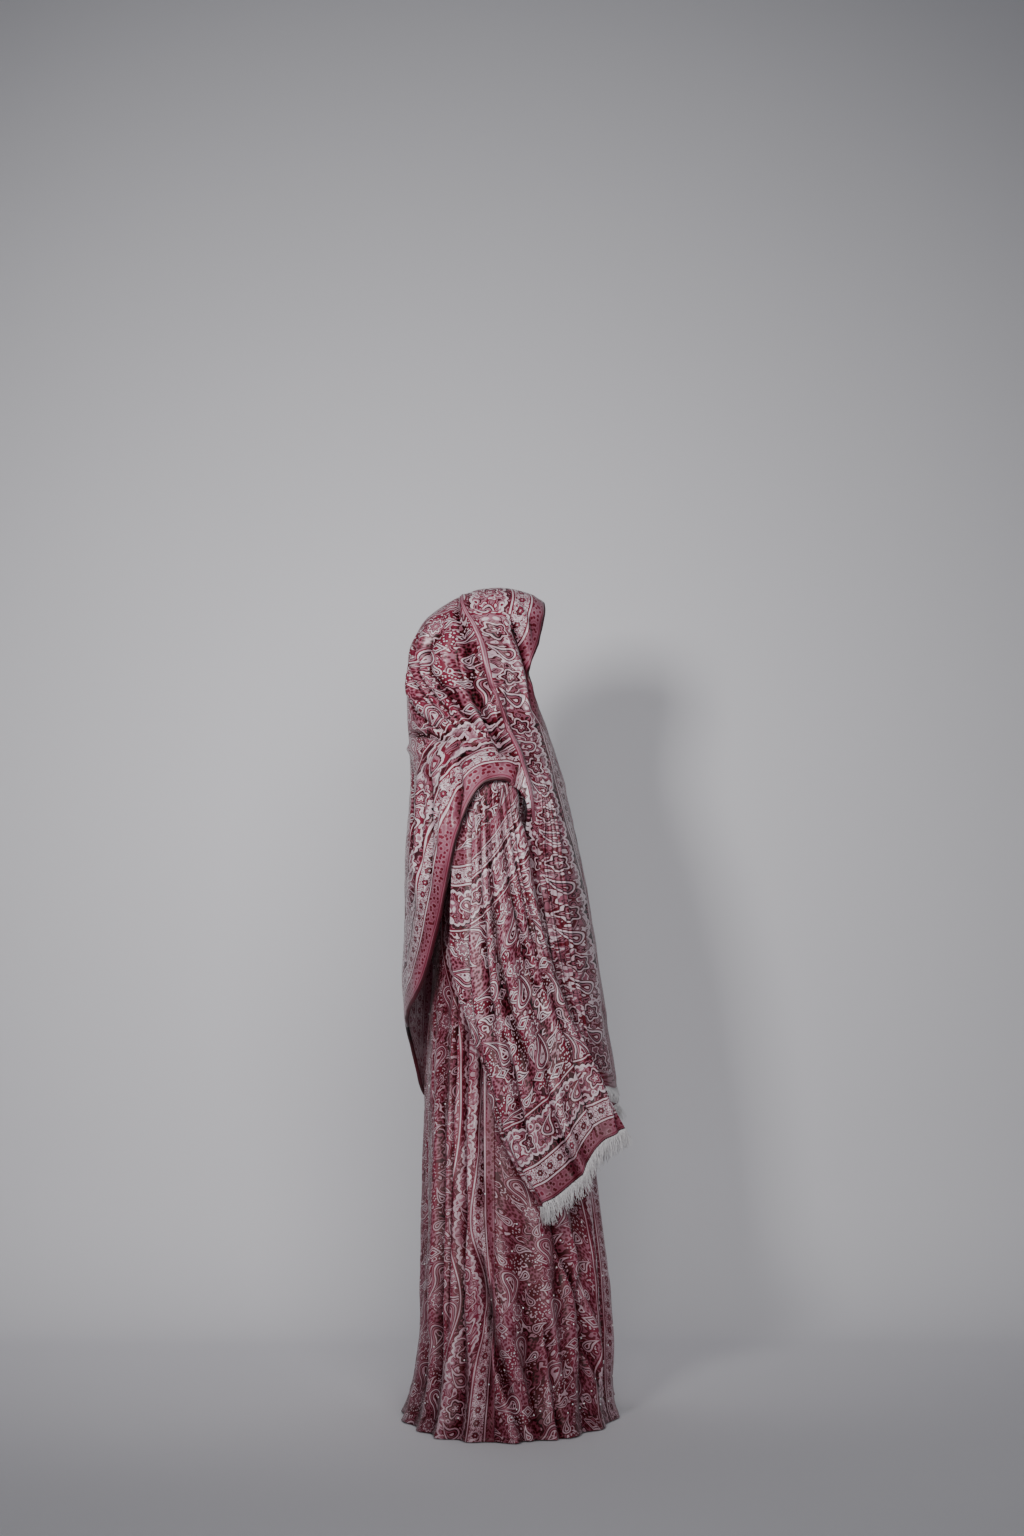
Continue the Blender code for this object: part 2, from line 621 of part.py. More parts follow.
def shawl_surface(side, along, across):
    """Points of the shawl. Along runs from the crown to one end and across from the face edge to the back hem."""
    stations = RIGHT_STATIONS if side == RIGHT else LEFT_STATIONS
    places = []
    for name, _ in STATION_PLACES:
        angle = np.radians(station(stations, name + "_angle", along))
        reach = station(stations, name + "_reach", along)
        places.append((reach * np.sin(angle), reach * np.cos(angle)))
    shares = [share for _, share in STATION_PLACES]

    def crossing(share):
        """The cubic through a station's four places, as if the form were spread flat around the crown."""
        east, north = 0, 0
        for k, (place_east, place_north) in enumerate(places):
            weight = math.prod((share - other) / (shares[k] - other) for other in shares if other != shares[k])
            east, north = east + weight * place_east, north + weight * place_north
        return shawl_place(np.degrees(np.arctan2(east, north)), np.hypot(east, north))

    steps = [crossing(np.full_like(along, s)) for s in np.linspace(0, 1, 25)]
    length = sum(np.linalg.norm(b - a, axis=-1) for a, b in zip(steps, steps[1:]))
    placed = crossing(cross_share(along, across, length))
    placed[..., 0] *= side
    front, hem = border_shares(along, length)
    pitch = length * (1 - front - hem) / PLEATS
    fullness = ease((0.95 - length / SHAWL_WIDTH) / 0.5)
    pressed = 1 - 0.6 * bump(along - SHOULDER_ALONG, 0.12)
    return placed, PLEAT_DEPTH * fullness * pressed, PLEAT_STEEPNESS * pitch * pressed


def shawl_grid(alongs, across, under):
    """A grid of the shawl's outer points, laid over what it covers and then pleated where it is gathered."""
    rows = []
    for a in alongs:
        side = RIGHT if a <= 0 else LEFT
        rows.append(shawl_surface(side, np.full_like(across, abs(a)), across))
    points = lie_over(np.stack([r[0] for r in rows]), under)
    full_depth, steepest = np.stack([r[1] for r in rows]), np.stack([r[2] for r in rows])
    normals = facing(points, normals_of(points), axis_of(points))
    down, over = np.gradient(points, axis=0), np.gradient(points, axis=1)
    square = np.linalg.norm(np.cross(down, over), axis=2)
    square /= np.linalg.norm(down, axis=2) * np.linalg.norm(over, axis=2) + 1e-9
    depth = np.minimum(full_depth, steepest * square) * square
    border = BORDER_WIDTH / SHAWL_WIDTH
    phase = np.clip((across - border) / (1 - 2 * border), 0, 1)
    wave = 0.5 - 0.5 * np.cos(2 * math.pi * PLEATS * phase)
    return lie_over(points + normals * (depth * wave)[..., None], under)


def build_shawl(under, material, yarn):
    """One cloth in four stretches: the hood, the back, and a fall in front of each shoulder."""
    border = BORDER_WIDTH / SHAWL_WIDTH
    across = np.concatenate(
        [
            np.linspace(0, border, 4)[:-1],
            np.linspace(border, 1 - border, 4 * PLEATS + 1),
            np.linspace(1 - border, 1, 4)[1:],
        ]
    )
    shoulder, end = SHOULDER_ALONG, RIGHT_STATIONS[-1][0]
    fall = np.linspace(shoulder, end, 10)
    cape = shoulder * np.linspace(0, 1, 11) ** 1.25
    cape = np.concatenate([-cape[::-1], cape[1:]])
    alongs = np.concatenate([-fall[::-1], cape[1:-1], fall])
    outer = shawl_grid(alongs, across, under)
    normals = facing(outer, normals_of(outer), axis_of(outer))
    first, last = len(fall) - 1, len(fall) - 1 + len(cape) - 1
    half = len(across) // 2
    stretches = (
        ("shawl_fall_right", slice(0, first + 1), slice(None)),
        ("shawl_hood", slice(first, last + 1), slice(0, half + 1)),
        ("shawl_back", slice(first, last + 1), slice(half, None)),
        ("shawl_fall_left", slice(last, None), slice(None)),
    )
    for name, rows, columns in stretches:
        wall(name, *trimmed(outer[rows, columns], normals[rows, columns], name), material)
    for name, end_row, before in (("right", 0, 1), ("left", -1, -2)):
        edge = outer[end_row] - normals[end_row] * CLOTH / 2
        way = outer[end_row] - outer[before]
        fringe(f"shawl_fringe_{name}", edge, way, normals[end_row], yarn)


def trimmed(outer, normals, name):
    """Each stretch stops half a gap short of its neighbour."""
    outer = outer.copy()
    ends = {
        "shawl_fall_right": ((-1, slice(None), -2),),
        "shawl_fall_left": ((0, slice(None), 1),),
        "shawl_hood": ((0, slice(None), 1), (-1, slice(None), -2)),
        "shawl_back": ((0, slice(None), 1), (-1, slice(None), -2)),
    }
    for row, columns, neighbour in ends[name]:
        way = outer[neighbour, columns] - outer[row, columns]
        length = np.linalg.norm(way, axis=-1, keepdims=True)
        outer[row, columns] += way / length * SEAM_GAP
    edge = {"shawl_hood": (-1, -2), "shawl_back": (0, 1)}
    if name in edge:
        column_index, neighbour = edge[name]
        way = outer[:, neighbour] - outer[:, column_index]
        length = np.linalg.norm(way, axis=-1, keepdims=True)
        outer[:, column_index] += way / length * SEAM_GAP
    return outer, normals


def cloth_material(name, colour, roughness):
    """A plain finish for the solids."""
    made = bpy.data.materials.new(name)
    made.use_nodes = True
    shader = made.node_tree.nodes["Principled BSDF"]
    shader.inputs["Base Color"].default_value = colour
    shader.inputs["Roughness"].default_value = roughness
    shader.inputs["Metallic"].default_value = 0.0
    return made


for old in list(bpy.data.objects):
    bpy.data.objects.remove(old, do_unlink=True)
HELD = bpy.data.objects.new("held_at_shoulders", None)
HELD.location = (0, 0, -SHOULDER_HEIGHT)
bpy.context.scene.collection.objects.link(HELD)

jacquard = cloth_material("rose_jacquard", ROSE_CLOTH, 0.55)
fringe_yarn = cloth_material("fringe_yarn", WHITE_FRINGE, 0.8)
layers = build_robe(jacquard)
layers += build_sleeves(jacquard, fringe_yarn)
build_shawl(layers, jacquard, fringe_yarn)
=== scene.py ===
"""Looks of a floor-length abaya of paisley jacquard, worn under its own fringed head shawl.

Lengths are in metres. Tables give heights above the floor, as the solids' own tables do, and every mesh is
lowered so that the origin is the middle of the shoulder line. The front faces -Y and the garment's own right
side is -X. Each cloth is a surface of two parameters, worked out as whole arrays, with creases stood off it.
"""

import math

import bpy
import numpy as np
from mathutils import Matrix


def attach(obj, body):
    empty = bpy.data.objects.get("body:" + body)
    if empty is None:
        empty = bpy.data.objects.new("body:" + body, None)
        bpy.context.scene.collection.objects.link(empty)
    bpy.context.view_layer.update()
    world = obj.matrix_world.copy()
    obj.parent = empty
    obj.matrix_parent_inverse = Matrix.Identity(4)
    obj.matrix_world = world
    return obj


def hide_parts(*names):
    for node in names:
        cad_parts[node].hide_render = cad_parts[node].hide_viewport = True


# Driving sizes, with the gap at a seam and the thickness of the cloth
SHOULDER_HEIGHT = 1.38
SEAM_GAP = 0.0004
RIGHT, LEFT = -1, 1
SHELL = 0.001
# Outwards is away from the upright axis and a little upwards, which settles it for a level surface
UPWARD_LEAN = 0.05
SHAWL_WIDTH = 1.05
BORDER_WIDTH = 0.165
SEAM_IN_BORDER = 0.017
SLEEVE_TOP_BORDER = 0.75
# A distance in metres that is past every border, and the robe's mean radius at its side seams
PAST_BORDER = 0.3
SIDE_RADIUS = 0.2
# Where each cloth starts in the pattern, so that neighbours don't show the same figures side by side
FRONT_START, SLEEVE_START, SHAWL_START = 0.31, 0.17, 2
# Passes that even out the cloth's width along its length, so that the pattern runs straight down
SHEAR_PASSES = 100

# Armhole, a standing ellipse on each side of the robe
ARMHOLE_X = 0.170
ARMHOLE_Z = 1.281
ARMHOLE_HALF_HEIGHT = 0.091
ARMHOLE_HALF_DEPTH = 0.058
UNDERARM_Z = ARMHOLE_Z - ARMHOLE_HALF_HEIGHT
SHOULDER_POINT_Z = ARMHOLE_Z + ARMHOLE_HALF_HEIGHT
YOKE_END_Z = UNDERARM_Z - 0.07
ARMHOLE_SHARE = 0.75

# Neckline
NECK_HALF_WIDTH = 0.072
NECK_SHARE = 0.45
NECK_SIDE_Z = 1.405
NECK_FRONT_Y, NECK_FRONT_Z = -0.088, 1.335
NECK_BACK_Y, NECK_BACK_Z = 0.070, 1.392
FRONT_OPENING = 0.004

# The robe's rings, from the underarm to the floor
ROBE_COLUMNS = ("height", "half_width", "front", "back")
ROBE_RINGS = (
    (1.190, 0.170, 0.138, 0.112),
    (1.050, 0.178, 0.158, 0.124),
    (0.880, 0.187, 0.180, 0.134),
    (0.680, 0.204, 0.196, 0.142),
    (0.480, 0.238, 0.206, 0.142),
    (0.300, 0.268, 0.222, 0.143),
    (0.150, 0.292, 0.234, 0.149),
    (0.060, 0.308, 0.238, 0.166),
    (0.025, 0.320, 0.243, 0.177),
    (0.003, 0.338, 0.252, 0.188),
)

# Folds of the robe: start height, start angle, hem angle, half width and depth. Angles are in degrees, from the
# front towards the garment's right.
ROBE_FOLDS = (
    (0.95, 8, 12, 12, 0.018),
    (1.00, 27, 35, 10, 0.026),
    (0.66, 47, 53, 9, 0.030),
    (0.62, 66, 62, 10, 0.034),
    (0.55, 90, 80, 11, 0.040),
    (0.80, 108, 104, 9, 0.026),
    (1.10, 126, 122, 10, 0.032),
    (1.05, 146, 141, 9, 0.024),
    (0.50, 160, 161, 10, 0.022),
    (1.05, 183, 181, 9, 0.014),
    (0.90, 203, 200, 10, 0.018),
    (1.05, 224, 221, 9, 0.028),
    (0.75, 243, 243, 10, 0.036),
    (0.55, 266, 266, 11, 0.036),
    (0.62, 288, 290, 10, 0.032),
    (0.95, 309, 313, 10, 0.030),
    (1.00, 334, 331, 9, 0.024),
    (0.40, 351, 348, 9, 0.020),
)

# Creases between the robe's folds: start, end, start place, end place, half width and height. A plus height
# stands out and a minus height sinks in, here and in the other tables of creases.
ROBE_CREASES = (
    (0.42, 0.00, 106, 77, 4.0, -0.032),
    (0.40, 0.02, 99, 70, 3.0, 0.010),
    (0.52, 0.02, 57, 25, 3.5, 0.014),
    (0.48, 0.06, 62, 31, 3.0, -0.016),
    (0.70, 0.05, 139, 136, 3.5, -0.019),
    (0.95, 0.10, 125, 122, 3.0, -0.016),
    (0.98, 0.30, 116, 113, 3.0, -0.019),
    (1.00, 0.42, 104, 101, 3.0, -0.022),
    (0.75, 0.15, 111, 108, 2.5, 0.007),
    (0.50, 0.08, 44, 41, 3.0, -0.014),
    (0.60, 0.03, 20, 22, 3.0, -0.013),
    (0.36, 0.03, 92, 95, 3.0, -0.016),
    (0.26, 0.00, 66, 60, 3.0, -0.019),
    (0.20, 0.00, 119, 123, 3.0, 0.009),
    (0.90, 0.05, 152, 150, 3.0, -0.016),
    (0.80, 0.04, 171, 170, 3.5, -0.019),
    (0.95, 0.10, 192, 190, 3.0, -0.018),
    (0.72, 0.02, 212, 214, 3.5, -0.016),
    (0.92, 0.12, 233, 231, 3.0, -0.019),
    (0.66, 0.05, 255, 251, 3.0, -0.016),
    (0.44, 0.00, 258, 284, 4.0, -0.027),
    (0.52, 0.04, 299, 326, 3.5, 0.011),
    (0.62, 0.05, 322, 320, 3.0, -0.014),
    (0.70, 0.04, 341, 339, 3.0, -0.013),
)

# Creases are softer on the skirt, and folds at the hem: by how much, from which height, and its fade
ROBE_RELIEF = 1.3
SKIRT_CALM, HEM_CALM = (0.32, 0.80, 0.4), (0.40, 0.26, 0.2)
# The chest and the back stand out between the seams, and the front edges swing apart below a height
CHEST_BULGE, BACK_BULGE = -0.012, 0.014
EDGE_SWING, SWING_START = 5.0, 0.55
HEM_Z, LEFT_FRONT_LIFT = 0.003, 0.022
ROBE_ROWS, YOKE_ROWS, FRONT_COLUMNS, HALF_BACK_COLUMNS = 150, 34, 118, 100

# Sleeve sections, from the armhole to the slanting cuff
SLEEVE_COLUMNS = (
    "travel", "height", "front", "back", "inner", "outer", "fore_slant", "side_slant", "draw_back",
)
SLEEVE_SECTIONS = (
    (0.00, 1.281, -0.058, 0.058, 0.1704, 0.1704, 0.000, 0.091, 0.000),
    (0.05, 1.263, -0.060, 0.062, 0.1740, 0.2060, 0.000, 0.084, 0.000),
    (0.12, 1.215, -0.064, 0.064, 0.1800, 0.2280, 0.000, 0.060, 0.000),
    (0.21, 1.140, -0.074, 0.064, 0.1850, 0.2420, 0.000, 0.025, 0.000),
    (0.33, 1.040, -0.094, 0.066, 0.1890, 0.2540, 0.000, 0.006, 0.000),
    (0.46, 0.940, -0.120, 0.064, 0.1940, 0.2640, 0.000, 0.000, 0.000),
    (0.58, 0.845, -0.152, 0.052, 0.2000, 0.2720, 0.006, 0.000, 0.000),
    (0.71, 0.745, -0.190, 0.022, 0.2080, 0.2800, 0.020, -0.002, 0.004),
    (0.84, 0.650, -0.224, -0.010, 0.2180, 0.2880, 0.046, -0.006, 0.012),
    (1.00, 0.539, -0.262, -0.090, 0.2260, 0.2960, 0.078, -0.010, 0.026),
)
# Folds of a sleeve: start, end, start angle, end angle, half width and depth
SLEEVE_FOLDS = (
    (0.14, 1.10, 36, 22, 15, 0.010),
    (0.16, 0.72, 64, 52, 13, 0.010),
    (0.18, 1.10, 90, 84, 15, 0.014),
    (0.20, 0.80, 115, 112, 13, 0.010),
    (0.22, 1.10, 140, 142, 16, 0.014),
    (0.30, 1.10, 208, 210, 18, 0.007),
    (0.30, 1.10, 290, 292, 20, 0.006),
)

# The fold that hangs behind the upper sleeve and the groove beside it: angle, half width and height.
# On the left the shawl's back hangs lower, so that the fold there is small.
REAR_FOLD, REAR_FOLD_HEIGHTS = (186, 30), {RIGHT: 0.026, LEFT: 0.002}
REAR_GROOVE = (147, 9, 0.022)
# Soft steps are given by the place where each starts and its width, which is minus for a fall
REAR_RISE, REAR_FALL = (0.05, 0.10), (0.66, -0.25)
# Under the shawl the sleeve is pressed in, and its creases are shallower
SLEEVE_TOP_PRESS, PRESS_RISE, PRESS_FALL = 0.010, (0.0, 0.02), (0.17, -0.08)
RELIEF_AT_TOP, RELIEF_RISE = 0.45, (0.0, 0.30)
SLEEVE_ROWS, SLEEVE_COLUMNS_ROUND = 150, 150
SLEEVE_RELIEF, SLEEVE_RUMPLE = 1.35, 0.8
# Rows lie closer together towards the top of the sleeve
SLEEVE_CROWDING = 1.15

# Creases of a sleeve: the gathers under the shawl, the hanging folds and the curved folds above the cuff
SLEEVE_CREASES = (
    (0.04, 0.50, 60, 24, 6, -0.016),
    (0.03, 0.42, 74, 40, 5, -0.014),
    (0.03, 0.60, 84, 56, 5, -0.013),
    (0.04, 0.36, 96, 80, 5, 0.006),
    (0.06, 0.70, 104, 100, 6, -0.013),
    (0.08, 0.52, 122, 118, 6, -0.010),
    (0.28, 0.62, 114, 123, 7, -0.013),
    (0.58, 0.90, 112, 127, 7, -0.016),
    (0.60, 0.92, 121, 136, 5, 0.007),
    (0.66, 1.00, 78, 98, 6, -0.014),
    (0.70, 1.00, 68, 86, 5, 0.007),
    (0.45, 0.98, 36, 44, 6, -0.011),
    (0.55, 1.00, 14, 22, 6, 0.007),
    (0.12, 0.80, 152, 158, 6, -0.013),
    (0.70, 1.02, 150, 160, 7, -0.013),
    (0.20, 0.95, 196, 198, 8, -0.010),
    (0.30, 0.95, 240, 244, 9, -0.008),
    (0.25, 0.90, 322, 326, 8, -0.010),
)

# The form that the shawl lies on. Reach is the way down from the crown, measured on the cloth.
FORM_COLUMNS = ("reach", "height", "half_width", "front", "back")
SHAWL_FORM = (
    (0.00, 1.716, 0.000, 0.000, 0.000),
    (0.05, 1.708, 0.042, 0.048, 0.044),
    (0.11, 1.683, 0.070, 0.100, 0.098),
    (0.15, 1.650, 0.084, 0.112, 0.144),
    (0.20, 1.600, 0.095, 0.113, 0.174),
    (0.26, 1.545, 0.100, 0.106, 0.183),
    (0.32, 1.490, 0.107, 0.097, 0.184),
    (0.38, 1.426, 0.131, 0.108, 0.182),
    (0.44, 1.378, 0.177, 0.124, 0.178),
    (0.50, 1.328, 0.219, 0.138, 0.175),
    (0.56, 1.270, 0.239, 0.153, 0.177),
    (0.65, 1.185, 0.248, 0.174, 0.183),
    (0.80, 1.035, 0.240, 0.201, 0.188),
    (0.95, 0.885, 0.230, 0.224, 0.192),
    (1.10, 0.735, 0.224, 0.248, 0.180),
    (1.28, 0.555, 0.220, 0.275, 0.158),
)
FORM_ROUNDNESS = 0.82
RING_REACH = 0.44
HEAD_RADIUS, BODY_RADIUS, BODY_BEGINS = 0.12, 0.22, (0.20, 0.45)
EDGE_POINTS = 1600

# Stations along the shawl from the crown towards one end, each with the places that its crossing runs through
STATION_COLUMNS = (
    "along", "face_angle", "face_reach", "upper_angle", "upper_reach", "lower_angle", "lower_reach",
    "hem_angle", "hem_reach",
)
STATION_PLACES = (("face", 0.0), ("upper", 0.35), ("lower", 0.7), ("hem", 1.0))
RIGHT_STATIONS = (
    (0.00, 0, 0.110, 180, 0.280, 180, 0.680, 180, 1.030),
    (0.07, 29, 0.150, 127, 0.260, 155, 0.630, 158, 0.985),
    (0.13, 40, 0.200, 104, 0.275, 135, 0.560, 138, 0.930),
    (0.19, 50, 0.255, 90, 0.305, 116, 0.490, 123, 0.805),
    (0.25, 38, 0.310, 75, 0.340, 101, 0.445, 111, 0.640),
    (0.34, 13, 0.385, 56, 0.385, 80, 0.430, 96, 0.525),
    (0.43, 9, 0.490, 43, 0.455, 63, 0.465, 79, 0.518),
    (0.52, 9, 0.580, 30, 0.560, 50, 0.552, 68, 0.570),
    (0.62, 9, 0.680, 29, 0.680, 52, 0.670, 74, 0.665),
    (0.80, 9, 0.860, 29, 0.850, 51, 0.840, 71, 0.830),
    (0.96, 10, 1.010, 28, 1.000, 47, 0.990, 64, 0.985),
    (1.11, 10, 1.155, 26, 1.150, 42, 1.140, 54, 1.130),
)
# The left half differs in its lower and hem places, down to the shoulder
LEFT_LOWER_AND_HEM = (
    (180, 0.680, 180, 1.030),
    (157, 0.675, 166, 1.090),
    (140, 0.640, 151, 1.185),
    (122, 0.550, 136, 1.120),
    (106, 0.480, 121, 0.870),
    (82, 0.445, 100, 0.600),
    (63, 0.470, 81, 0.540),
    (50, 0.552, 68, 0.572),
)
LEFT_STATIONS = tuple(row[:5] + places for row, places in zip(RIGHT_STATIONS, LEFT_LOWER_AND_HEM))
LEFT_STATIONS += RIGHT_STATIONS[len(LEFT_LOWER_AND_HEM) :]
SHAWL_END = RIGHT_STATIONS[-1][0]
SHOULDER_ALONG = 0.43
ACROSS_COLUMNS, FALL_ROWS, CAPE_ROWS = 221, 116, 151
PLEATS = 5
PLEAT_DEPTH = 0.016
PLEAT_STEEPNESS = 0.5
PLEAT_SHARPNESS = 0.8
# Pleats are pressed on the shoulder, and flatten where the cloth lies at nearly its full width
PLEATS_PRESSED, PRESSED_WIDTH = 0.6, 0.12
FULLNESS_FALL = (0.95, -0.5)
# Shares of a crossing that its borders may take: behind, above the shoulder and in the falls
FACE_SHARE = 0.60
FALL_STRETCH = 1.25
HEM_SHARE_BEHIND, HEM_SHARE_ABOVE, HEM_SHARE_BEFORE = 0.30, 0.36, 0.12
SHOULDER_NEARS, FALL_BEGINS = (0.22, 0.12), (0.42, 0.14)
# The tuck of a fall's rear edge: where it starts across and along, and its depth above and below
TUCK_SHARE = 0.70
TUCK_ABOVE, TUCK_BELOW = 0.24, 0.15
TUCK_BEGINS, TUCK_SLACKENS = (0.50, 0.12), (0.62, 0.35)

# Creases of the shawl, by the way along it from the crown, with its right half minus, and the share across it
SHAWL_CREASES = (
    (-0.46, -1.09, 0.330, 0.320, 0.016, -0.013),
    (-0.46, -1.02, 0.470, 0.450, 0.016, -0.013),
    (-0.48, -0.95, 0.620, 0.600, 0.018, -0.011),
    (-0.02, -0.30, 0.820, 0.860, 0.020, -0.010),
    (-0.02, -0.22, 0.760, 0.900, 0.022, 0.007),
    (0.46, 1.09, 0.340, 0.330, 0.016, -0.013),
    (0.46, 1.02, 0.480, 0.460, 0.016, -0.013),
    (0.48, 0.95, 0.630, 0.600, 0.018, -0.011),
    (0.02, 0.30, 0.810, 0.870, 0.020, -0.013),
)

# Folds of the hood and back: half width, height, and the angles and reaches that the fold runs through
SHAWL_FOLDS = (
    (0.009, -0.018, (82, 0.13), (70, 0.195), (56, 0.255), (44, 0.31)),
    (0.012, 0.012, (92, 0.13), (81, 0.195), (68, 0.255), (57, 0.316), (50, 0.38)),
    (0.012, -0.015, (178, 0.400), (155, 0.396), (132, 0.402), (112, 0.418)),
    (0.018, 0.006, (220, 0.440), (160, 0.438), (128, 0.452)),
    (0.014, -0.017, (168, 0.45), (160, 0.58), (156, 0.74)),
    (0.017, 0.013, (151, 0.47), (145, 0.60), (143, 0.78)),
    (0.014, -0.017, (137, 0.48), (132, 0.60), (133, 0.76)),
    (0.013, 0.011, (124, 0.47), (120, 0.56), (123, 0.68)),
    (0.012, -0.014, (111, 0.46), (108, 0.53), (112, 0.62)),
    (0.010, 0.009, (70, 0.10), (62, 0.15), (56, 0.21)),
    (0.013, -0.012, (118, 0.14), (134, 0.20), (150, 0.29)),
)

# The strip before the ridge: by reach, the angles of the ridge and of the meander's white line
STRIP_COLUMNS = ("reach", "ridge", "scallop")
FRONT_STRIP = (
    (0.070, 179, 118),
    (0.088, 148, 100),
    (0.127, 118, 85),
    (0.160, 104, 79),
    (0.195, 97, 73),
    (0.255, 93, 61),
    (0.316, 90, 51),
    (0.364, 84, 46),
    (0.418, 79, 43),
    (0.482, 72, 39),
    (0.531, 67, 38),
    (0.617, 65, 36),
    (0.700, 65, 29),
    (0.770, 65, 23),
    (0.830, 61, 22),
    (0.895, 56, 21),
    (0.960, 50, 20),
    (1.150, 40, 18),
)
# The ridge and the groove that follows it: half width, height, and degrees behind the ridge
RIDGE_FOLDS = ((0.013, 0.015, 0), (0.012, -0.020, 10))
RIDGE_ROWS = 12
RIDGE_IN_BORDER, SCALLOP_IN_BORDER = 0.148, 0.090
FLOWERS_END, SPECKLE_END, HIDDEN_HEM, END_BAND = 0.080, 0.041, 0.085, 0.034
# Soft steps of what shows: the face edge, by reach, with all of the crown ahead of it, and the hidden hem
FACE_SHOWS, CROWN_AHEAD, HEM_HIDES = (0.27, 0.08), (0.14, -0.03), (0.42, 0.05)

# Fan of pleats on each side of the head: where it starts, its bounds in degrees up from level, and its size
FAN_ANGLE, FAN_REACH = 80, 0.475
FAN_LOWEST, FAN_HIGHEST = 30, 76
FAN_PLEATS = 6
FAN_DEPTH, FAN_LENGTH = 0.034, 0.42
FAN_STARTS, FAN_ENDS, FAN_BEHIND = (0.03, 0.07), (FAN_LENGTH, -0.17), (174, -20)

# Soft unevenness of the silk: waves per metre along X, Y and Z, a start, and a height
RUMPLE_WAVES = (
    (31, 23, 9, 0.4, 0.0011),
    (-19, 41, 13, 1.9, 0.0009),
    (53, -37, 21, 3.1, 0.0006),
    (11, 17, 47, 4.4, 0.0006),
    (71, 59, -29, 5.2, 0.0004),
    (-83, 67, 38, 0.9, 0.0003),
)

# How deep a groove of the shawl may go, how clear of the shoulders it stays, and how far its hem stands off
DEEPEST, SHOULDER_CLEAR, HEM_STANDOFF = 0.034, 0.002, 0.009
# Where along the shawl and across it that holds: middles with half widths, and a soft step
OVER_SHOULDER, BEHIND_SHOULDER = (0.39, 0.15), (0.45, 0.2)
HEM_OVER_SHOULDER, HEM_ACROSS = (0.36, 0.22), (0.92, 0.45)

# The shawl's hem is rolled in: radius of the roll and the columns that it takes
HEM_RADIUS, HEM_STEPS = 0.0042, 7

# Fringes and stones
FRINGE_LENGTH = 0.034
SHAWL_FRINGE_LENGTH = 0.026
THREADS, THREAD_POINTS = 820, 6
THREAD_RADIUS, THREAD_TAPER, ROOT_DEPTH = 0.0008, 0.45, 0.006
# Each thread differs: waves that stand for chance, its length, its sway beside and outwards, and its droop
CHANCE_WAVES = ((12.9, 0.3), (7.77, 1.1), (5.31, 2.3), (3.97, 0.7))
LENGTH_MIDDLE, LENGTH_SWING = 0.92, 0.22
LEAN_SWAY, DROOP_SWAY, DROOP = (0.34, 0.30), (0.42, 0.24), 0.62
STONES_A_PANEL, STONES_REACH = 90, 0.62
STONE_RADIUS = 0.0018
# A stone's rings, by radius and rise, and the three faces of its table
STONE_RINGS = ((1, 0.0), (1, 0.0005), (0.55, 0.0013))
STONE_TABLE = ((16, 17, 18, 19), (16, 19, 20, 23), (20, 21, 22, 23))

# UV maps of the cloth. In "zone", x is metres behind the shawl's ridge, and y is above 0 where the face edge
# shows. In "relief", x is how many mm the cloth stands out from the cloth around it.
UV_LAYERS = ("cloth", "border", "face", "hem", "zone", "relief")
SOFT_PASSES = 26
RIDGE_END = 0.60

# Yarns of the jacquard, from the darkest to the lightest, as shares of the way up and sRGB hex values
YARNS = (
    (0.00, "300A12"),
    (0.22, "6C1127"),
    (0.42, "762338"),
    (0.58, "7E3A4C"),
    (0.80, "9E6877"),
    (1.00, "D9C6CD"),
)
MAROON, CRIMSON, ROSE, MAUVE, DULL, WARM, PINK, SILVER = 0.04, 0.23, 0.42, 0.60, 0.66, 0.73, 0.80, 0.98

# The jacquard's figures, in mm: each row says which yarn is woven from a distance on, measured from a motif's
# outline or from the cloth's edge. The last row only closes the table. In scrolls it is a share of a turn.
FIELD_SCROLLS = ((0, CRIMSON), (0.28, SILVER), (0.48, CRIMSON), (0.60, MAROON), (0.78, PINK), (1, PINK))
PALE_DOTS = ((0, SILVER), (0.25, MAROON), (0.34, CRIMSON), (0.74, ROSE), (1, ROSE))
DARK_DOTS = ((0, MAROON), (0.22, CRIMSON), (0.34, MAUVE), (0.52, PINK), (1, PINK))
SMALL_PAISLEY = ((-9, CRIMSON), (-5, SILVER), (-2.8, MAROON), (-0.8, SILVER), (1.8, CRIMSON), (4, CRIMSON))
PAISLEY_SCROLLS = ((0, CRIMSON), (0.3, SILVER), (0.6, PINK), (0.72, MAROON), (1, MAROON))
LARGE_PAISLEY = (
    (-9, SILVER), (-6.4, CRIMSON), (-4, PINK), (-1.8, MAROON), (0.4, SILVER), (3.2, CRIMSON), (5.4, PINK),
    (7.4, MAROON), (9, MAROON),
)
LARGE_FLOWER = (
    (-13, SILVER), (-10.6, CRIMSON), (-8, PINK), (-4.4, MAROON), (-2.4, SILVER), (0.6, CRIMSON), (2.6, PINK),
    (4.8, MAROON), (7, MAROON),
)
BORDER_SCROLLS = ((0, PINK), (0.25, SILVER), (0.50, CRIMSON), (0.72, PINK), (0.9, MAROON), (1, MAROON))
DARK_SCROLLS = ((0, MAROON), (0.45, PINK), (0.62, CRIMSON), (0.8, MAROON), (1, MAROON))
MEANDER_LINE = ((18, CRIMSON), (19.5, SILVER), (25, MAROON), (27, MAROON), (28, MAROON))
BORDER_PAISLEY = (
    (-11, SILVER), (-8, CRIMSON), (-5, PINK), (-2.2, MAROON), (0, SILVER), (3.4, CRIMSON), (6, CRIMSON),
)
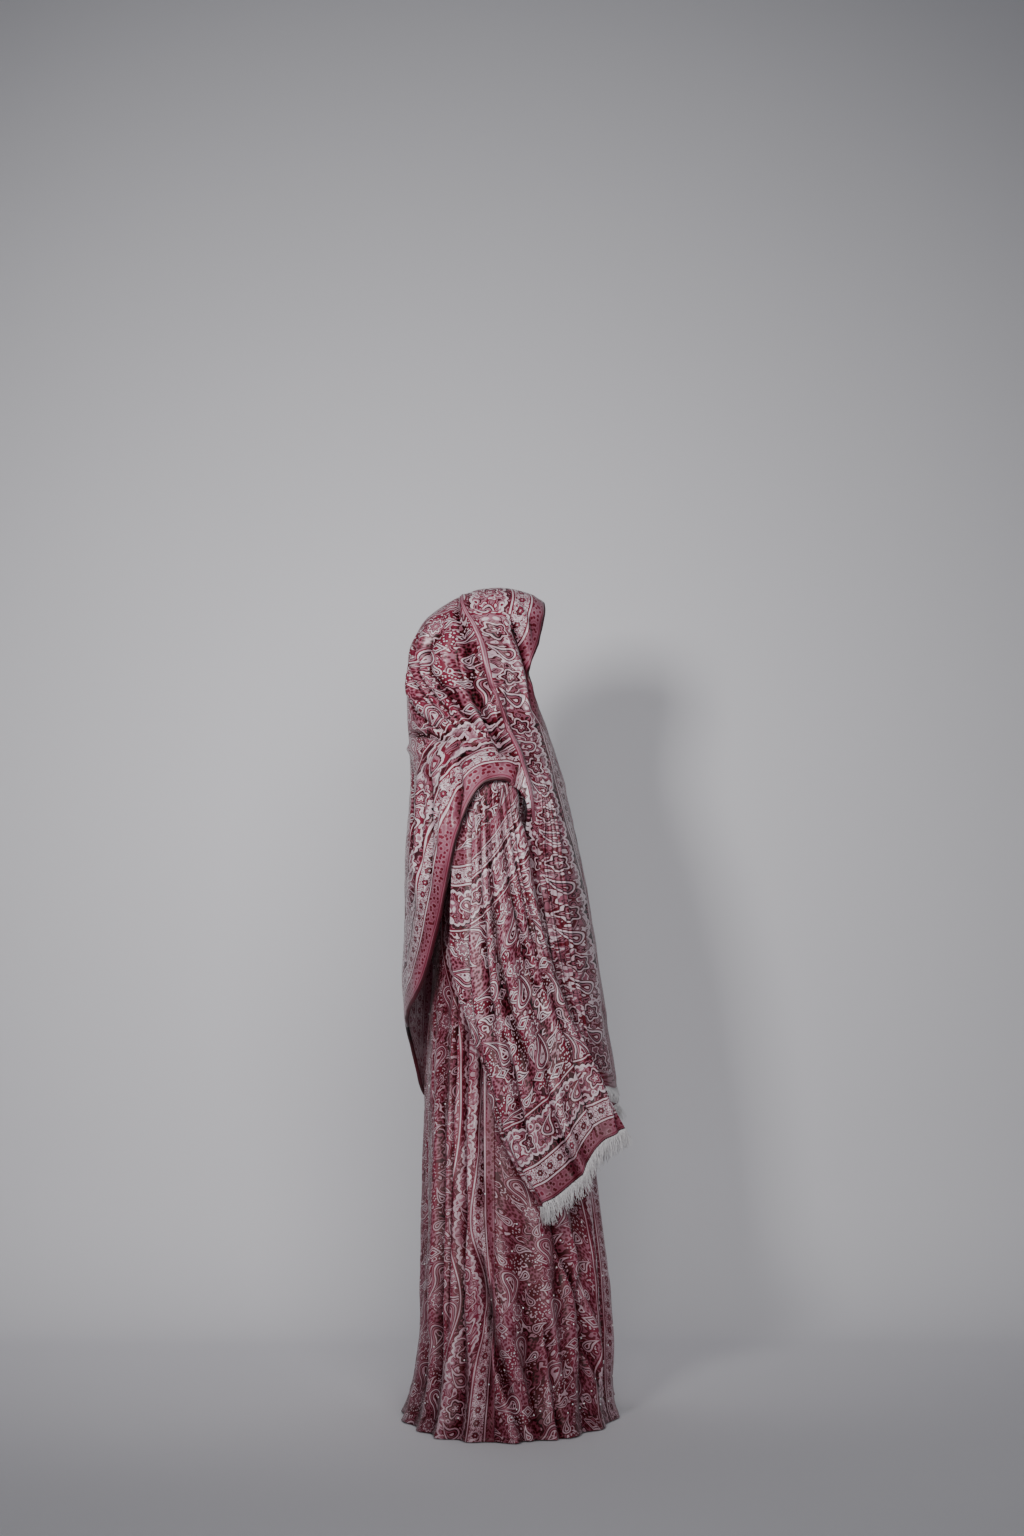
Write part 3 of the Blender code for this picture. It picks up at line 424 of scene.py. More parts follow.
BORDER_FLOWER = (
    (-13, SILVER), (-9, CRIMSON), (-5.4, PINK), (-2.5, MAROON), (0, CRIMSON), (1.4, SILVER), (4.6, CRIMSON),
    (7, CRIMSON),
)
SMALL_FLOWER = ((-7, SILVER), (-4.6, CRIMSON), (-2.6, ROSE), (-0.6, MAROON), (1, SILVER), (2, SILVER))
LEAVES = (
    (0, SILVER), (0.30, CRIMSON), (0.46, SILVER), (0.62, PINK), (0.78, ROSE), (0.9, SILVER), (1, SILVER),
)
HEM_MARKS = ((0, CRIMSON), (0.2, CRIMSON), (0.32, PINK), (0.48, WARM), (0.66, DULL), (1, DULL))
BORDER_LINES = (
    (0, MAROON), (1.6, DULL), (4.6, ROSE), (6.4, WARM), (8.5, WARM), (9, WARM), (33, CRIMSON), (35.6, SILVER),
    (38.6, CRIMSON), (41.2, MAUVE), (71, CRIMSON), (73.6, SILVER), (76.6, CRIMSON), (79.2, MAUVE),
    (163, CRIMSON), (165.6, SILVER), (168.6, CRIMSON), (171.2, MAUVE), (172, MAUVE),
)
# Where those lines are woven, 1, and where the bands between them show, 0
BORDER_LINES_SHOWN = ((0, 1), (9, 0), (33, 1), (41.2, 0), (71, 1), (79.2, 0), (163, 1), (171.2, 0), (172, 0))
RIDGE_STRIPE = ((0, DULL), (1.0, PINK), (2.6, MAUVE), (3.6, CRIMSON), (4.6, CRIMSON))
HEM_BAND, SPRIG_BAND, BORDER_BAND = 39.0, 75.0, 168.0
SPRIG_MIDDLE, MEANDER_MIDDLE = 57.0, 121.0
BORDER_REPEAT, SPRIG_REPEAT, SCALLOP = 108.0, 26.0, 13.5
SMALL_REPEAT, LARGE_REPEAT = (48, 54), (98, 126)
DOT_SPACING, MARK_SPACING, PATCH_SIZE = 6.4, 9.5, 44
# The ribs of the twill, in metres
RIB_WIDTH = 0.0016


# Reading the tables


def column(table, names, name):
    """One named column of a table."""
    return np.array([row[names.index(name)] for row in table], float)


def smooth_read(keys, values, at, level_start=False):
    """A cubic curve through (keys, values), read at the given keys."""
    slopes = np.gradient(values, keys)
    if level_start:
        slopes[0] = 0
    at = np.clip(at, keys[0], keys[-1])
    i = np.clip(np.searchsorted(keys, at, side="right") - 1, 0, len(keys) - 2)
    width = keys[i + 1] - keys[i]
    t = (at - keys[i]) / width
    return (
        values[i] * (2 * t**3 - 3 * t**2 + 1)
        + values[i + 1] * (3 * t**2 - 2 * t**3)
        + slopes[i] * width * (t**3 - 2 * t**2 + t)
        + slopes[i + 1] * width * (t**3 - t**2)
    )


def read(table, names, key, name, at, level_start=False):
    """A table's named column as a smooth curve over its key column."""
    keys, values = column(table, names, key), column(table, names, name)
    order = np.argsort(keys)
    return smooth_read(keys[order], values[order], at, level_start)


def ease(t):
    """A smooth step from 0 to 1."""
    t = np.clip(t, 0, 1)
    return t * t * (3 - 2 * t)


def risen(value, step):
    """A smooth step from 0 to 1, by the place where it starts and its width, which is minus for a fall."""
    start, width = step
    return ease((value - start) / width)


def turn_between(a, b):
    """The smaller turn from angle b to angle a, in degrees."""
    return (a - b + 180) % 360 - 180


def bump(offset, half_width):
    """A soft ridge across a fold: 1 on its line and 0 past its half width."""
    return np.cos(np.clip(offset / half_width, -1, 1) * math.pi / 2) ** 2


def creases(table, along, place, apart):
    """Heights of creases. Each runs straight between two places: a soft ridge, which swells and fades."""
    height = np.zeros(np.broadcast(along, place).shape)
    for start, end, start_place, end_place, half_width, high in table:
        share = (along - start) / (end - start)
        middle = start_place + (end_place - start_place) * np.clip(share, 0, 1)
        strength = ease(share * 3.5) * ease((1 - share) * 5 + (1 if end == 0 or end > 1 else 0))
        height = height + high * strength * (share < 1.001) * bump(apart(place, middle), half_width)
    return height


def rumple(points):
    """Unevenness of the cloth: a sum of slanting waves in space, each bent by the one before it."""
    height = np.zeros(points.shape[:2])
    bend = np.zeros(points.shape[:2])
    for wave_x, wave_y, wave_z, start, high in RUMPLE_WAVES:
        wave = np.sin(points @ np.array([wave_x, wave_y, wave_z], float) + start + 1.7 * bend)
        height += high * wave
        bend = wave
    return height


# Grids


def normals_of(points, closed=False):
    """Unit normals of a grid of points, by the cross product of its two directions."""
    if closed:
        wrapped = np.concatenate([points[:, -1:], points, points[:, :1]], axis=1)
        return normals_of(wrapped)[:, 1:-1]
    across = np.gradient(points, axis=1)
    down = np.gradient(points, axis=0)
    normal = np.cross(across, down)
    return normal / np.maximum(np.linalg.norm(normal, axis=2, keepdims=True), 1e-12)


def outwards(points, normals):
    """The normals turned so that they point away from the garment's upright axis."""
    reach = points.copy()
    reach[..., 2] = UPWARD_LEAN
    return normals if (reach * normals).sum(axis=2).mean() > 0 else -normals


def grid_faces(rows, columns, closed=False):
    """Corner numbers of a grid's faces. A closed grid's last column is joined to its first."""
    r = np.arange(rows - 1)[:, None]
    c = np.arange(columns if closed else columns - 1)[None, :]
    n = (c + 1) % columns
    corners = [r * columns + c, r * columns + n, (r + 1) * columns + n, (r + 1) * columns + c]
    return np.stack(np.broadcast_arrays(*corners), axis=-1).reshape(-1, 4)


def run(points, axis):
    """Length of cloth along one direction of a grid, from its first line."""
    steps = np.linalg.norm(np.diff(points, axis=axis), axis=2)
    start = np.zeros_like(np.take(steps, [0], axis=axis))
    return np.concatenate([start, np.cumsum(steps, axis=axis)], axis=axis)


def softened(grid, passes, axis, closed=False):
    """A grid averaged with its neighbours along one axis, over and over."""
    for _ in range(passes):
        if closed:
            before, after = np.roll(grid, 1, axis), np.roll(grid, -1, axis)
        else:
            first, last = np.take(grid, [0], axis=axis), np.take(grid, [-1], axis=axis)
            before = np.concatenate([first, np.delete(grid, -1, axis=axis)], axis=axis)
            after = np.concatenate([np.delete(grid, 0, axis=axis), last], axis=axis)
        grid = (before + 2 * grid + after) / 4
    return grid


def edge_fade(count, margin):
    """1 within a grid's width and 0 on its first and last lines, so that seams stay where they are."""
    share = np.linspace(0, 1, count)
    return ease(share / margin) * ease((1 - share) / margin)


# Robe


def robe_rings(angles, heights):
    """Skirt and bodice. Rings are half ellipses in front and behind, with folds and creases on them."""
    half_width, front, back = (
        read(ROBE_RINGS, ROBE_COLUMNS, "height", name, heights) for name in ROBE_COLUMNS[1:]
    )
    sine, cosine = np.sin(np.radians(angles)), np.cos(np.radians(angles))
    depth = np.where(cosine > 0, front, back)
    fold = np.zeros_like(heights)
    for start_height, start_angle, hem_angle, width, deep in ROBE_FOLDS:
        share = np.clip(1 - heights / start_height, 0, 1)
        middle = start_angle + (hem_angle - start_angle) * share
        fold += deep * ease(share * 1.15) * bump(turn_between(angles, middle), width)
    calm, start, fade = SKIRT_CALM
    relief = ROBE_RELIEF * (1 - calm * ease((start - heights) / fade))
    fold = fold + relief * creases(ROBE_CREASES, heights, angles, turn_between)
    calm, start, fade = HEM_CALM
    fold = fold * (1 - calm * ease((start - heights) / fade))
    normal = np.stack([-sine / half_width, -cosine / depth], axis=-1)
    normal /= np.linalg.norm(normal, axis=-1, keepdims=True)
    x = -half_width * sine + fold * normal[..., 0]
    y = -depth * cosine + fold * normal[..., 1]
    return np.stack([x, y, heights], axis=-1)


def armhole_point(side, turn):
    """A point on the armhole: turn 0 is its top, 90 its front edge and 270 its back edge."""
    return np.stack(
        [
            np.full_like(turn, side * ARMHOLE_X),
            -ARMHOLE_HALF_DEPTH * np.sin(np.radians(turn)),
            ARMHOLE_Z + ARMHOLE_HALF_HEIGHT * np.cos(np.radians(turn)),
        ],
        axis=-1,
    )


def top_line(side, share, behind):
    """The neckline and then the shoulder seam, from the middle of the front or back to the shoulder point."""
    turn = np.clip(share / NECK_SHARE, 0, 1) * math.pi / 2
    opening = 0.0 if behind else FRONT_OPENING / 2
    middle_y = NECK_BACK_Y if behind else NECK_FRONT_Y
    middle_z = NECK_BACK_Z if behind else NECK_FRONT_Z
    neck = np.stack(
        [
            side * (opening + (NECK_HALF_WIDTH - opening) * np.sin(turn)),
            middle_y * np.cos(turn),
            middle_z + (NECK_SIDE_Z - middle_z) * (1 - np.cos(turn)),
        ],
        axis=-1,
    )
    along = np.clip((share - NECK_SHARE) / (1 - NECK_SHARE), 0, 1)[..., None]
    seam_end = np.array([side * ARMHOLE_X, 0.0, SHOULDER_POINT_Z])
    seam_start = np.array([side * NECK_HALF_WIDTH, 0.0, NECK_SIDE_Z])
    seam = seam_start + (seam_end - seam_start) * along
    return np.where((share < NECK_SHARE)[..., None], neck, seam)


def yoke(side, angles, behind):
    """The panel above the bust: a patch between neck and shoulder, centre line, armhole and bodice ring."""
    share = np.linspace(0, 1, len(angles))
    down = np.linspace(0, 1, YOKE_ROWS)
    top = top_line(side, share, behind)
    ring = robe_rings(angles, np.full(len(angles), YOKE_END_Z))
    turn = 180 * np.minimum(down / ARMHOLE_SHARE, 1)
    edge = armhole_point(side, turn if not behind else 360 - turn)
    below = np.clip((down - ARMHOLE_SHARE) / (1 - ARMHOLE_SHARE), 0, 1)[:, None]
    edge = edge + (ring[-1] - edge) * below
    centre = top[0] + (ring[0] - top[0]) * down[:, None]
    centre[:, 1] += (BACK_BULGE if behind else CHEST_BULGE) * np.sin(math.pi * down)
    v, u = down[:, None, None], share[None, :, None]
    corners = (1 - v) * (1 - u) * top[0] + (1 - v) * u * top[-1] + v * (1 - u) * ring[0] + v * u * ring[-1]
    return (1 - v) * top + v * ring + (1 - u) * centre[:, None] + u * edge[:, None] - corners


def robe_panel(side, first_angle, last_angle, columns, behind, hem_lift=0.0):
    """Points of one panel, from neck and shoulder to the hem. A front's edge swings away below the knee."""
    heights = YOKE_END_Z + (HEM_Z - YOKE_END_Z) * np.linspace(0, 1, ROBE_ROWS)[1:]
    across = np.linspace(0, 1, columns)
    lift = hem_lift * ease((1 - across) * 2)
    below = lift + heights[:, None] * (1 - lift / heights[0])
    drift = 0 if behind else EDGE_SWING * ease(1 - below / SWING_START) * (1 - across)
    way = np.sign(last_angle - first_angle)
    angles = first_angle + (last_angle - first_angle) * across
    skirt = robe_rings((angles + way * drift) % 360 + 0 * below, below)
    return np.concatenate([yoke(side, angles % 360, behind), skirt])


def uneven_robe(points):
    """The panel with the silk's unevenness, which dies away at its sides and its top."""
    fade = edge_fade(points.shape[1], 0.04)[None, :] * ease(np.linspace(0, 12, points.shape[0]))[:, None]
    return points + outwards(points, normals_of(points)) * (rumple(points) * fade)[..., None]


def build_robe(cloth, wrong_side):
    """Two fronts with a border along the opening, and a back with a border along each side seam."""
    made = []
    side_gap = math.degrees(SEAM_GAP / 2 / SIDE_RADIUS)
    fronts = (
        ("robe_front_right", RIGHT, 0.6, 90 - side_gap, 0.0),
        ("robe_front_left", LEFT, 359.4, 270 + side_gap, LEFT_FRONT_LIFT),
    )
    for name, side, first, last, lift in fronts:
        points = robe_panel(side, first, last, FRONT_COLUMNS, False, lift)
        points = uneven_robe(points)
        across, down = softened(run(points, 1), SHEAR_PASSES, 0), run(points, 0)
        layers = {"cloth": (across + FRONT_START, down), "border": (across, down)}
        piece = woven(name, points, layers, (cloth, wrong_side))
        made.append((piece, points))
    right = robe_panel(RIGHT, 180, 90 + side_gap, HALF_BACK_COLUMNS, True)
    left = robe_panel(LEFT, 180, 270 - side_gap, HALF_BACK_COLUMNS, True)
    points = np.concatenate([right[:, ::-1], left[:, 1:]], axis=1)
    points = uneven_robe(points)
    across, down = softened(run(points, 1), SHEAR_PASSES, 0), run(points, 0)
    centred = across - across[:, HALF_BACK_COLUMNS - 1 : HALF_BACK_COLUMNS]
    from_seam = np.minimum(across, across[:, -1:] - across) + SEAM_IN_BORDER
    layers = {"cloth": (centred, down), "border": (from_seam, down)}
    piece = woven("robe_back", points, layers, (cloth, wrong_side))
    made.append((piece, points))
    return made


# Sleeves


def sleeve_surface(side, travel, angles, folded=1):
    """A ring at each section, from the front edge over the outside, with folds and creases stood off it."""
    values = {
        name: read(SLEEVE_SECTIONS, SLEEVE_COLUMNS, "travel", name, travel) for name in SLEEVE_COLUMNS[1:]
    }
    sine, cosine = np.sin(np.radians(angles)), np.cos(np.radians(angles))
    half_depth = (values["back"] - values["front"]) / 2
    half_width = (values["outer"] - values["inner"]) / 2
    fold = np.zeros_like(travel)
    for start, end, first, last, width, deep in SLEEVE_FOLDS:
        share = np.clip((travel - start) / (end - start), 0, 1)
        strength = ease(share * 4) * ease((1 - share) * 4 + (1 if end > 1 else 0))
        fold += deep * strength * bump(turn_between(angles, first + (last - first) * share), width)
    relief = SLEEVE_RELIEF * (RELIEF_AT_TOP + (1 - RELIEF_AT_TOP) * risen(travel, RELIEF_RISE))
    fold += relief * creases(SLEEVE_CREASES, travel, angles, turn_between)
    hung = risen(travel, REAR_RISE) * risen(travel, REAR_FALL)
    middle, width = REAR_FOLD
    fold += hung * REAR_FOLD_HEIGHTS[side] * bump(turn_between(angles, middle), width)
    middle, width, deep = REAR_GROOVE
    fold -= hung * deep * bump(turn_between(angles, middle), width)
    fold -= SLEEVE_TOP_PRESS * risen(travel, PRESS_FALL) * risen(travel, PRESS_RISE)
    fold *= folded
    y = (values["back"] + values["front"]) / 2 - (half_depth + fold * np.abs(cosine)) * cosine
    y = y + values["draw_back"] * np.clip(sine, 0, 1) * np.clip(cosine, 0, 1) * 2
    x = (values["outer"] + values["inner"]) / 2 + (half_width + fold * np.abs(sine)) * sine
    z = values["height"] + values["fore_slant"] * cosine + values["side_slant"] * sine
    return np.stack([side * x, y, z], axis=-1)


def build_sleeves(cloth, wrong_side, yarn):
    """Both sleeves, with a border above the cuff, another below the shoulder, and a fringe."""
    made = []
    for side, name in ((RIGHT, "right"), (LEFT, "left")):
        rows, columns = SLEEVE_ROWS, SLEEVE_COLUMNS_ROUND
        travel = np.linspace(0, 1, rows)[:, None] ** SLEEVE_CROWDING * np.ones((1, columns))
        angles = (270 + np.linspace(0, 360, columns, endpoint=False))[None, :] * np.ones((rows, 1))
        points = sleeve_surface(side, travel, angles % 360)
        normals = normals_of(points, closed=True)
        middle = points.mean(axis=1, keepdims=True)
        if ((points - middle) * normals).sum() < 0:
            normals = -normals
        fade = ease(np.linspace(0, 8, rows))[:, None]
        points = points + normals * (SLEEVE_RUMPLE * rumple(points) * fade)[..., None]
        plain = sleeve_surface(side, travel, angles % 360, 0)
        plain = np.concatenate([plain, plain[:, :1]], axis=1)
        ring = np.concatenate([points, points[:, :1]], axis=1)
        across, down = softened(run(ring, 1), SHEAR_PASSES, 0), run(plain, 0)
        across = across - across[:, columns // 2 : columns // 2 + 1]
        from_cuff = down[-1:] - down
        from_top = SLEEVE_TOP_BORDER - from_cuff
        border = np.where(from_top > 0, np.minimum(from_cuff, from_top), PAST_BORDER)
        layers = {"cloth": (across + SLEEVE_START, from_cuff), "border": (border, across)}
        piece = woven(f"sleeve_{name}", points, layers, (cloth, wrong_side), closed=True)
        made.append((piece, points))
        edge = points[-1] - normals[-1] * SHELL / 2
        way = points[-1] - points[-3]
        threads = fringe(f"cuff_fringe_{name}", edge, way, normals[-1], yarn, FRINGE_LENGTH, closed=True)
        made.append((threads, None))
    return made


# Shawl


def shawl_place(angles, reach):
    """A point on the form that carries the shawl, by its angle from the front and reach from the crown."""
    values = {name: read(SHAWL_FORM, FORM_COLUMNS, "reach", name, reach) for name in FORM_COLUMNS[1:]}
    sine, cosine = np.sin(np.radians(angles)), np.cos(np.radians(angles))
    depth = np.where(cosine > 0, values["front"], values["back"])
    sideways = np.sign(sine) * np.abs(sine) ** FORM_ROUNDNESS
    forwards = np.sign(cosine) * np.abs(cosine) ** FORM_ROUNDNESS
    return np.stack([values["half_width"] * sideways, -depth * forwards, values["height"]], axis=-1)


def laid_flat(angles, reach):
    """The form's surface unrolled from the line down its side: metres towards the back, and metres down."""
    turn = np.linspace(0, 225, 226)
    ring = run(shawl_place(turn, np.full(226, RING_REACH))[:, None], 0)[:, 0]
    share = (np.interp(angles, turn, ring) - ring[90]) / ring[180]
    radius = HEAD_RADIUS + (BODY_RADIUS - HEAD_RADIUS) * risen(reach, BODY_BEGINS)
    return math.pi * share * radius, reach


def fold_lines(angles, reach):
    """Heights of the placed folds: a soft ridge or trough about each line, which fades at both ends."""
    u, v = laid_flat(angles, reach)
    height = np.zeros_like(u)
    strip = FRONT_STRIP[:RIDGE_ROWS]
    by_ridge = [
        (width, high, *((ridge + turn, at) for at, ridge, _ in strip)) for width, high, turn in RIDGE_FOLDS
    ]
    for half_width, high, *places in (*SHAWL_FOLDS, *by_ridge):
        line = np.array(places, float)
        line = np.stack(laid_flat(line[:, 0], line[:, 1]), axis=-1)
        lengths = np.concatenate([[0], np.cumsum(np.hypot(*np.diff(line, axis=0).T))])
        nearest, along = np.full(u.shape, 9.0), np.zeros_like(u)
        for k in range(len(line) - 1):
            (u0, v0), (u1, v1) = line[k], line[k + 1]
            span = lengths[k + 1] - lengths[k]
            share = np.clip(((u - u0) * (u1 - u0) + (v - v0) * (v1 - v0)) / span**2, 0, 1)
            apart = np.hypot(u - u0 - share * (u1 - u0), v - v0 - share * (v1 - v0))
            along = np.where(apart < nearest, (lengths[k] + share * span) / lengths[-1], along)
            nearest = np.minimum(nearest, apart)
        width = half_width * (0.75 + 0.5 * along)
        height += high * ease(along * 3.5) * ease((1 - along) * 3.5) * bump(nearest, width)
    return height


def pleat_fan(angles, reach, uneven):
    """Heights of the pleats that leave one point by the collarbone and spread over the back of the head."""
    u, v = laid_flat(angles, reach)
    start_u, start_v = laid_flat(np.array(float(FAN_ANGLE)), np.array(FAN_REACH))
    out, up = u - start_u, start_v - v
    length = np.hypot(out, up)
    turn = np.degrees(np.arctan2(up, out)) + 7 * np.sin(length * 11 + uneven)
    share = (turn - FAN_LOWEST) / (FAN_HIGHEST - FAN_LOWEST)
    phase = FAN_PLEATS * share + 0.28 * np.sin(4.1 * share * math.pi + uneven) + 0.15 * np.sin(length * 31)
    wave = np.abs(np.sin(math.pi * phase)) ** 0.7 - 0.45
    reach_fade = risen(length, FAN_STARTS) * risen(length, FAN_ENDS) * risen(angles, FAN_BEHIND)
    depth = np.minimum(FAN_DEPTH * (0.8 + 0.2 * np.sin(5 * share + uneven)), length * 0.14)
    return depth * wave * reach_fade * ease(share * 6) * ease((1 - share) * 6)


def border_shares(along, length):
    """The parts of a crossing that the face and hem borders take, at their full width where it fits."""
    hem_share = HEM_SHARE_BEHIND + (HEM_SHARE_ABOVE - HEM_SHARE_BEHIND) * risen(along, SHOULDER_NEARS)
    hem_share += (HEM_SHARE_BEFORE - HEM_SHARE_ABOVE) * risen(along, FALL_BEGINS)
    stretch = 1 + (FALL_STRETCH - 1) * risen(along, FALL_BEGINS)
    face = np.minimum(stretch * BORDER_WIDTH / length, FACE_SHARE)
    return face, np.minimum(BORDER_WIDTH / length, hem_share)


def tuck(along, share):
    """How far a fall's rear edge turns in beside the body, inside the sleeve, as a share of its way out."""
    deep = TUCK_ABOVE + (TUCK_BELOW - TUCK_ABOVE) * risen(along, TUCK_SLACKENS)
    return deep * risen(along, TUCK_BEGINS) * risen(share, (TUCK_SHARE, 1 - TUCK_SHARE))


def shawl_half(side, along, across):
    """One half of the shawl, laid flat too, and its folds. A crossing is a cubic through its four places."""
    stations = RIGHT_STATIONS if side == RIGHT else LEFT_STATIONS
    places = []
    for name, _ in STATION_PLACES:
        angle = np.radians(read(stations, STATION_COLUMNS, "along", name + "_angle", along))
        reach = read(stations, STATION_COLUMNS, "along", name + "_reach", along, level_start=True)
        places.append((reach * np.sin(angle), reach * np.cos(angle)))
    shares = [share for _, share in STATION_PLACES]

    def crossing(share):
        """The cubic, as if the form were spread flat around the crown: angles from the front, and reaches."""
        east, north = 0, 0
        for k, (place_east, place_north) in enumerate(places):
            others = [other for other in shares if other != shares[k]]
            weight = math.prod((share - other) / (shares[k] - other) for other in others)
            east, north = east + weight * place_east, north + weight * place_north
        return np.degrees(np.arctan2(east, north)), np.hypot(east, north)

    steps = shawl_place(*crossing(np.linspace(0, 1, 25)[None, :] * np.ones_like(along)))
    length = np.linalg.norm(np.diff(steps, axis=1), axis=2).sum(axis=1)[:, None]
    front, hem = border_shares(along, length)
    border = BORDER_WIDTH / SHAWL_WIDTH
    middle = front + (1 - front - hem) * (across - border) / (1 - 2 * border)
    near_hem = 1 - hem * (1 - across) / border
    share = np.where(across > 1 - border, near_hem, middle)
    share = np.where(across < border, front * across / border, share)
    angles, reach = crossing(share)
    placed = shawl_place(angles, reach)
    placed[..., 0] *= side * (1 - tuck(along, share))
    pitch = length * (1 - front - hem) / PLEATS
    fullness = risen(length / SHAWL_WIDTH, FULLNESS_FALL)
    pressed = 1 - PLEATS_PRESSED * bump(along - SHOULDER_ALONG, PRESSED_WIDTH)
    folds = fold_lines(angles, reach) + pleat_fan(angles, reach, 0.4 if side == RIGHT else 2.1)
    field = np.stack([*laid_flat(angles, reach), angles], axis=-1)
    depth = PLEAT_DEPTH * fullness * pressed + 0 * across
    return placed, field, folds, depth, PLEAT_STEEPNESS * pitch * pressed + 0 * across


def shawl_grid(alongs, across):
    """The whole shawl: both halves, pleated where they are gathered, creased, and clear of the shoulders."""
    right, left = alongs[alongs <= 0], alongs[alongs > 0]
    halves = [
        shawl_half(RIGHT, -right[:, None], across[None, :]),
        shawl_half(LEFT, left[:, None], across[None, :]),
    ]
    points, field, folds, full_depth, steepest = (np.concatenate(parts) for parts in zip(*halves))
    normals = outwards(points, normals_of(points))
    down, over = np.gradient(points, axis=0), np.gradient(points, axis=1)
    square = np.linalg.norm(np.cross(down, over), axis=2)
    square /= np.linalg.norm(down, axis=2) * np.linalg.norm(over, axis=2) + 1e-9
    depth = np.minimum(full_depth, steepest * square) * square
    border = BORDER_WIDTH / SHAWL_WIDTH
    phase = np.clip((across - border) / (1 - 2 * border), 0, 1)
    wave = np.abs(np.sin(math.pi * PLEATS * phase)) ** PLEAT_SHARPNESS
    height = depth * wave
    height += creases(SHAWL_CREASES, alongs[:, None], across[None, :], np.subtract) * square
    height += rumple(points) + folds
    middle, width = OVER_SHOULDER
    shoulder = bump(np.abs(alongs) - middle, width)[:, None] * risen(across, BEHIND_SHOULDER)[None, :]
    height = np.maximum(height, (DEEPEST + SHOULDER_CLEAR) * shoulder - DEEPEST)
    middle, width = HEM_OVER_SHOULDER
    standoff = HEM_STANDOFF * bump(np.abs(alongs) - middle, width)[:, None]
    middle, width = HEM_ACROSS
    height += standoff * bump(across - middle, width)[None, :]
    return points + normals * height[..., None], points, field


def from_edge(points, line, crown):
    """Metres from an edge of the cloth to each point of a grid, and metres along that edge from the crown."""
    flat = points.reshape(-1, 3)
    reach = run(line[:, None], 0)[:, 0]
    fine = np.linspace(0, reach[-1], EDGE_POINTS)
    dense = np.stack([np.interp(fine, reach, line[:, k]) for k in range(3)], axis=-1)
    apart, along = np.empty(len(flat)), np.empty(len(flat))
    for rows in np.array_split(np.arange(len(flat)), 24):
        square = (flat[rows] ** 2).sum(axis=1)[:, None] + (dense**2).sum(axis=1) - 2 * flat[rows] @ dense.T
        at = square.argmin(axis=1)
        apart[rows] = np.sqrt(np.maximum(square[np.arange(len(rows)), at], 0))
        along[rows] = fine[at] - reach[crown]
    return apart.reshape(points.shape[:2]), along.reshape(points.shape[:2])


def rolled_hem(points, normals):
    """Columns that carry on past the last column and roll it in: an arc of a little over half a turn."""
    out = points[:, -1] - points[:, -3]
    out /= np.linalg.norm(out, axis=1, keepdims=True)
    turn = np.linspace(0, 1.1 * math.pi, HEM_STEPS + 1)[1:][None, :, None]
    roll = HEM_RADIUS * (out[:, None] * np.sin(turn) - normals[:, -1:] * (1 - np.cos(turn)))
    return np.concatenate([points, points[:, -1:] + roll], axis=1)


def cloth_places(alongs, plain, field, crown):
    """Where the shawl lies in its own pattern: the field, the strip before the ridge, and both borders."""
    over, down, angles = np.moveaxis(field, 2, 0)
    face, face_run = from_edge(plain, plain[:, 0], crown)
    hem, hem_run = from_edge(plain, plain[:, -1], crown)
    ridge = read(FRONT_STRIP, STRIP_COLUMNS, "reach", "ridge", down)
    scallop = read(FRONT_STRIP, STRIP_COLUMNS, "reach", "scallop", down)
    strip = RIDGE_IN_BORDER - (RIDGE_IN_BORDER - SCALLOP_IN_BORDER) * (ridge - angles) / (ridge - scallop)
    behind = over - laid_flat(ridge, down)[0]
    hem = hem + HIDDEN_HEM * risen(np.abs(alongs), HEM_HIDES)[:, None]
    below = risen(down, FACE_SHOWS)
    ahead = (1 - below) * (FLOWERS_END - strip) + below * (SPECKLE_END - face)
    ahead += 0.2 * risen(down, CROWN_AHEAD)
    strip = np.maximum(strip, SPECKLE_END + 0.0005)
    from_end = SHAWL_END - np.abs(alongs)[:, None] + 0 * face
    in_end_band = from_end < END_BAND
    strip, face, hem = (
        np.where(in_end_band, np.minimum(grid, from_end), grid) for grid in (strip, face, hem)
    )
    layers = {
        "cloth": (over + SHAWL_START, down),
        "border": (strip, 1.06 * down),
        "face": (face, face_run),
        "hem": (hem, hem_run),
        "zone": (behind, ahead),
    }
    columns = np.minimum(np.arange(face.shape[1] + HEM_STEPS), face.shape[1] - 1)
    return {label: tuple(grid[:, columns] for grid in pair) for label, pair in layers.items()}


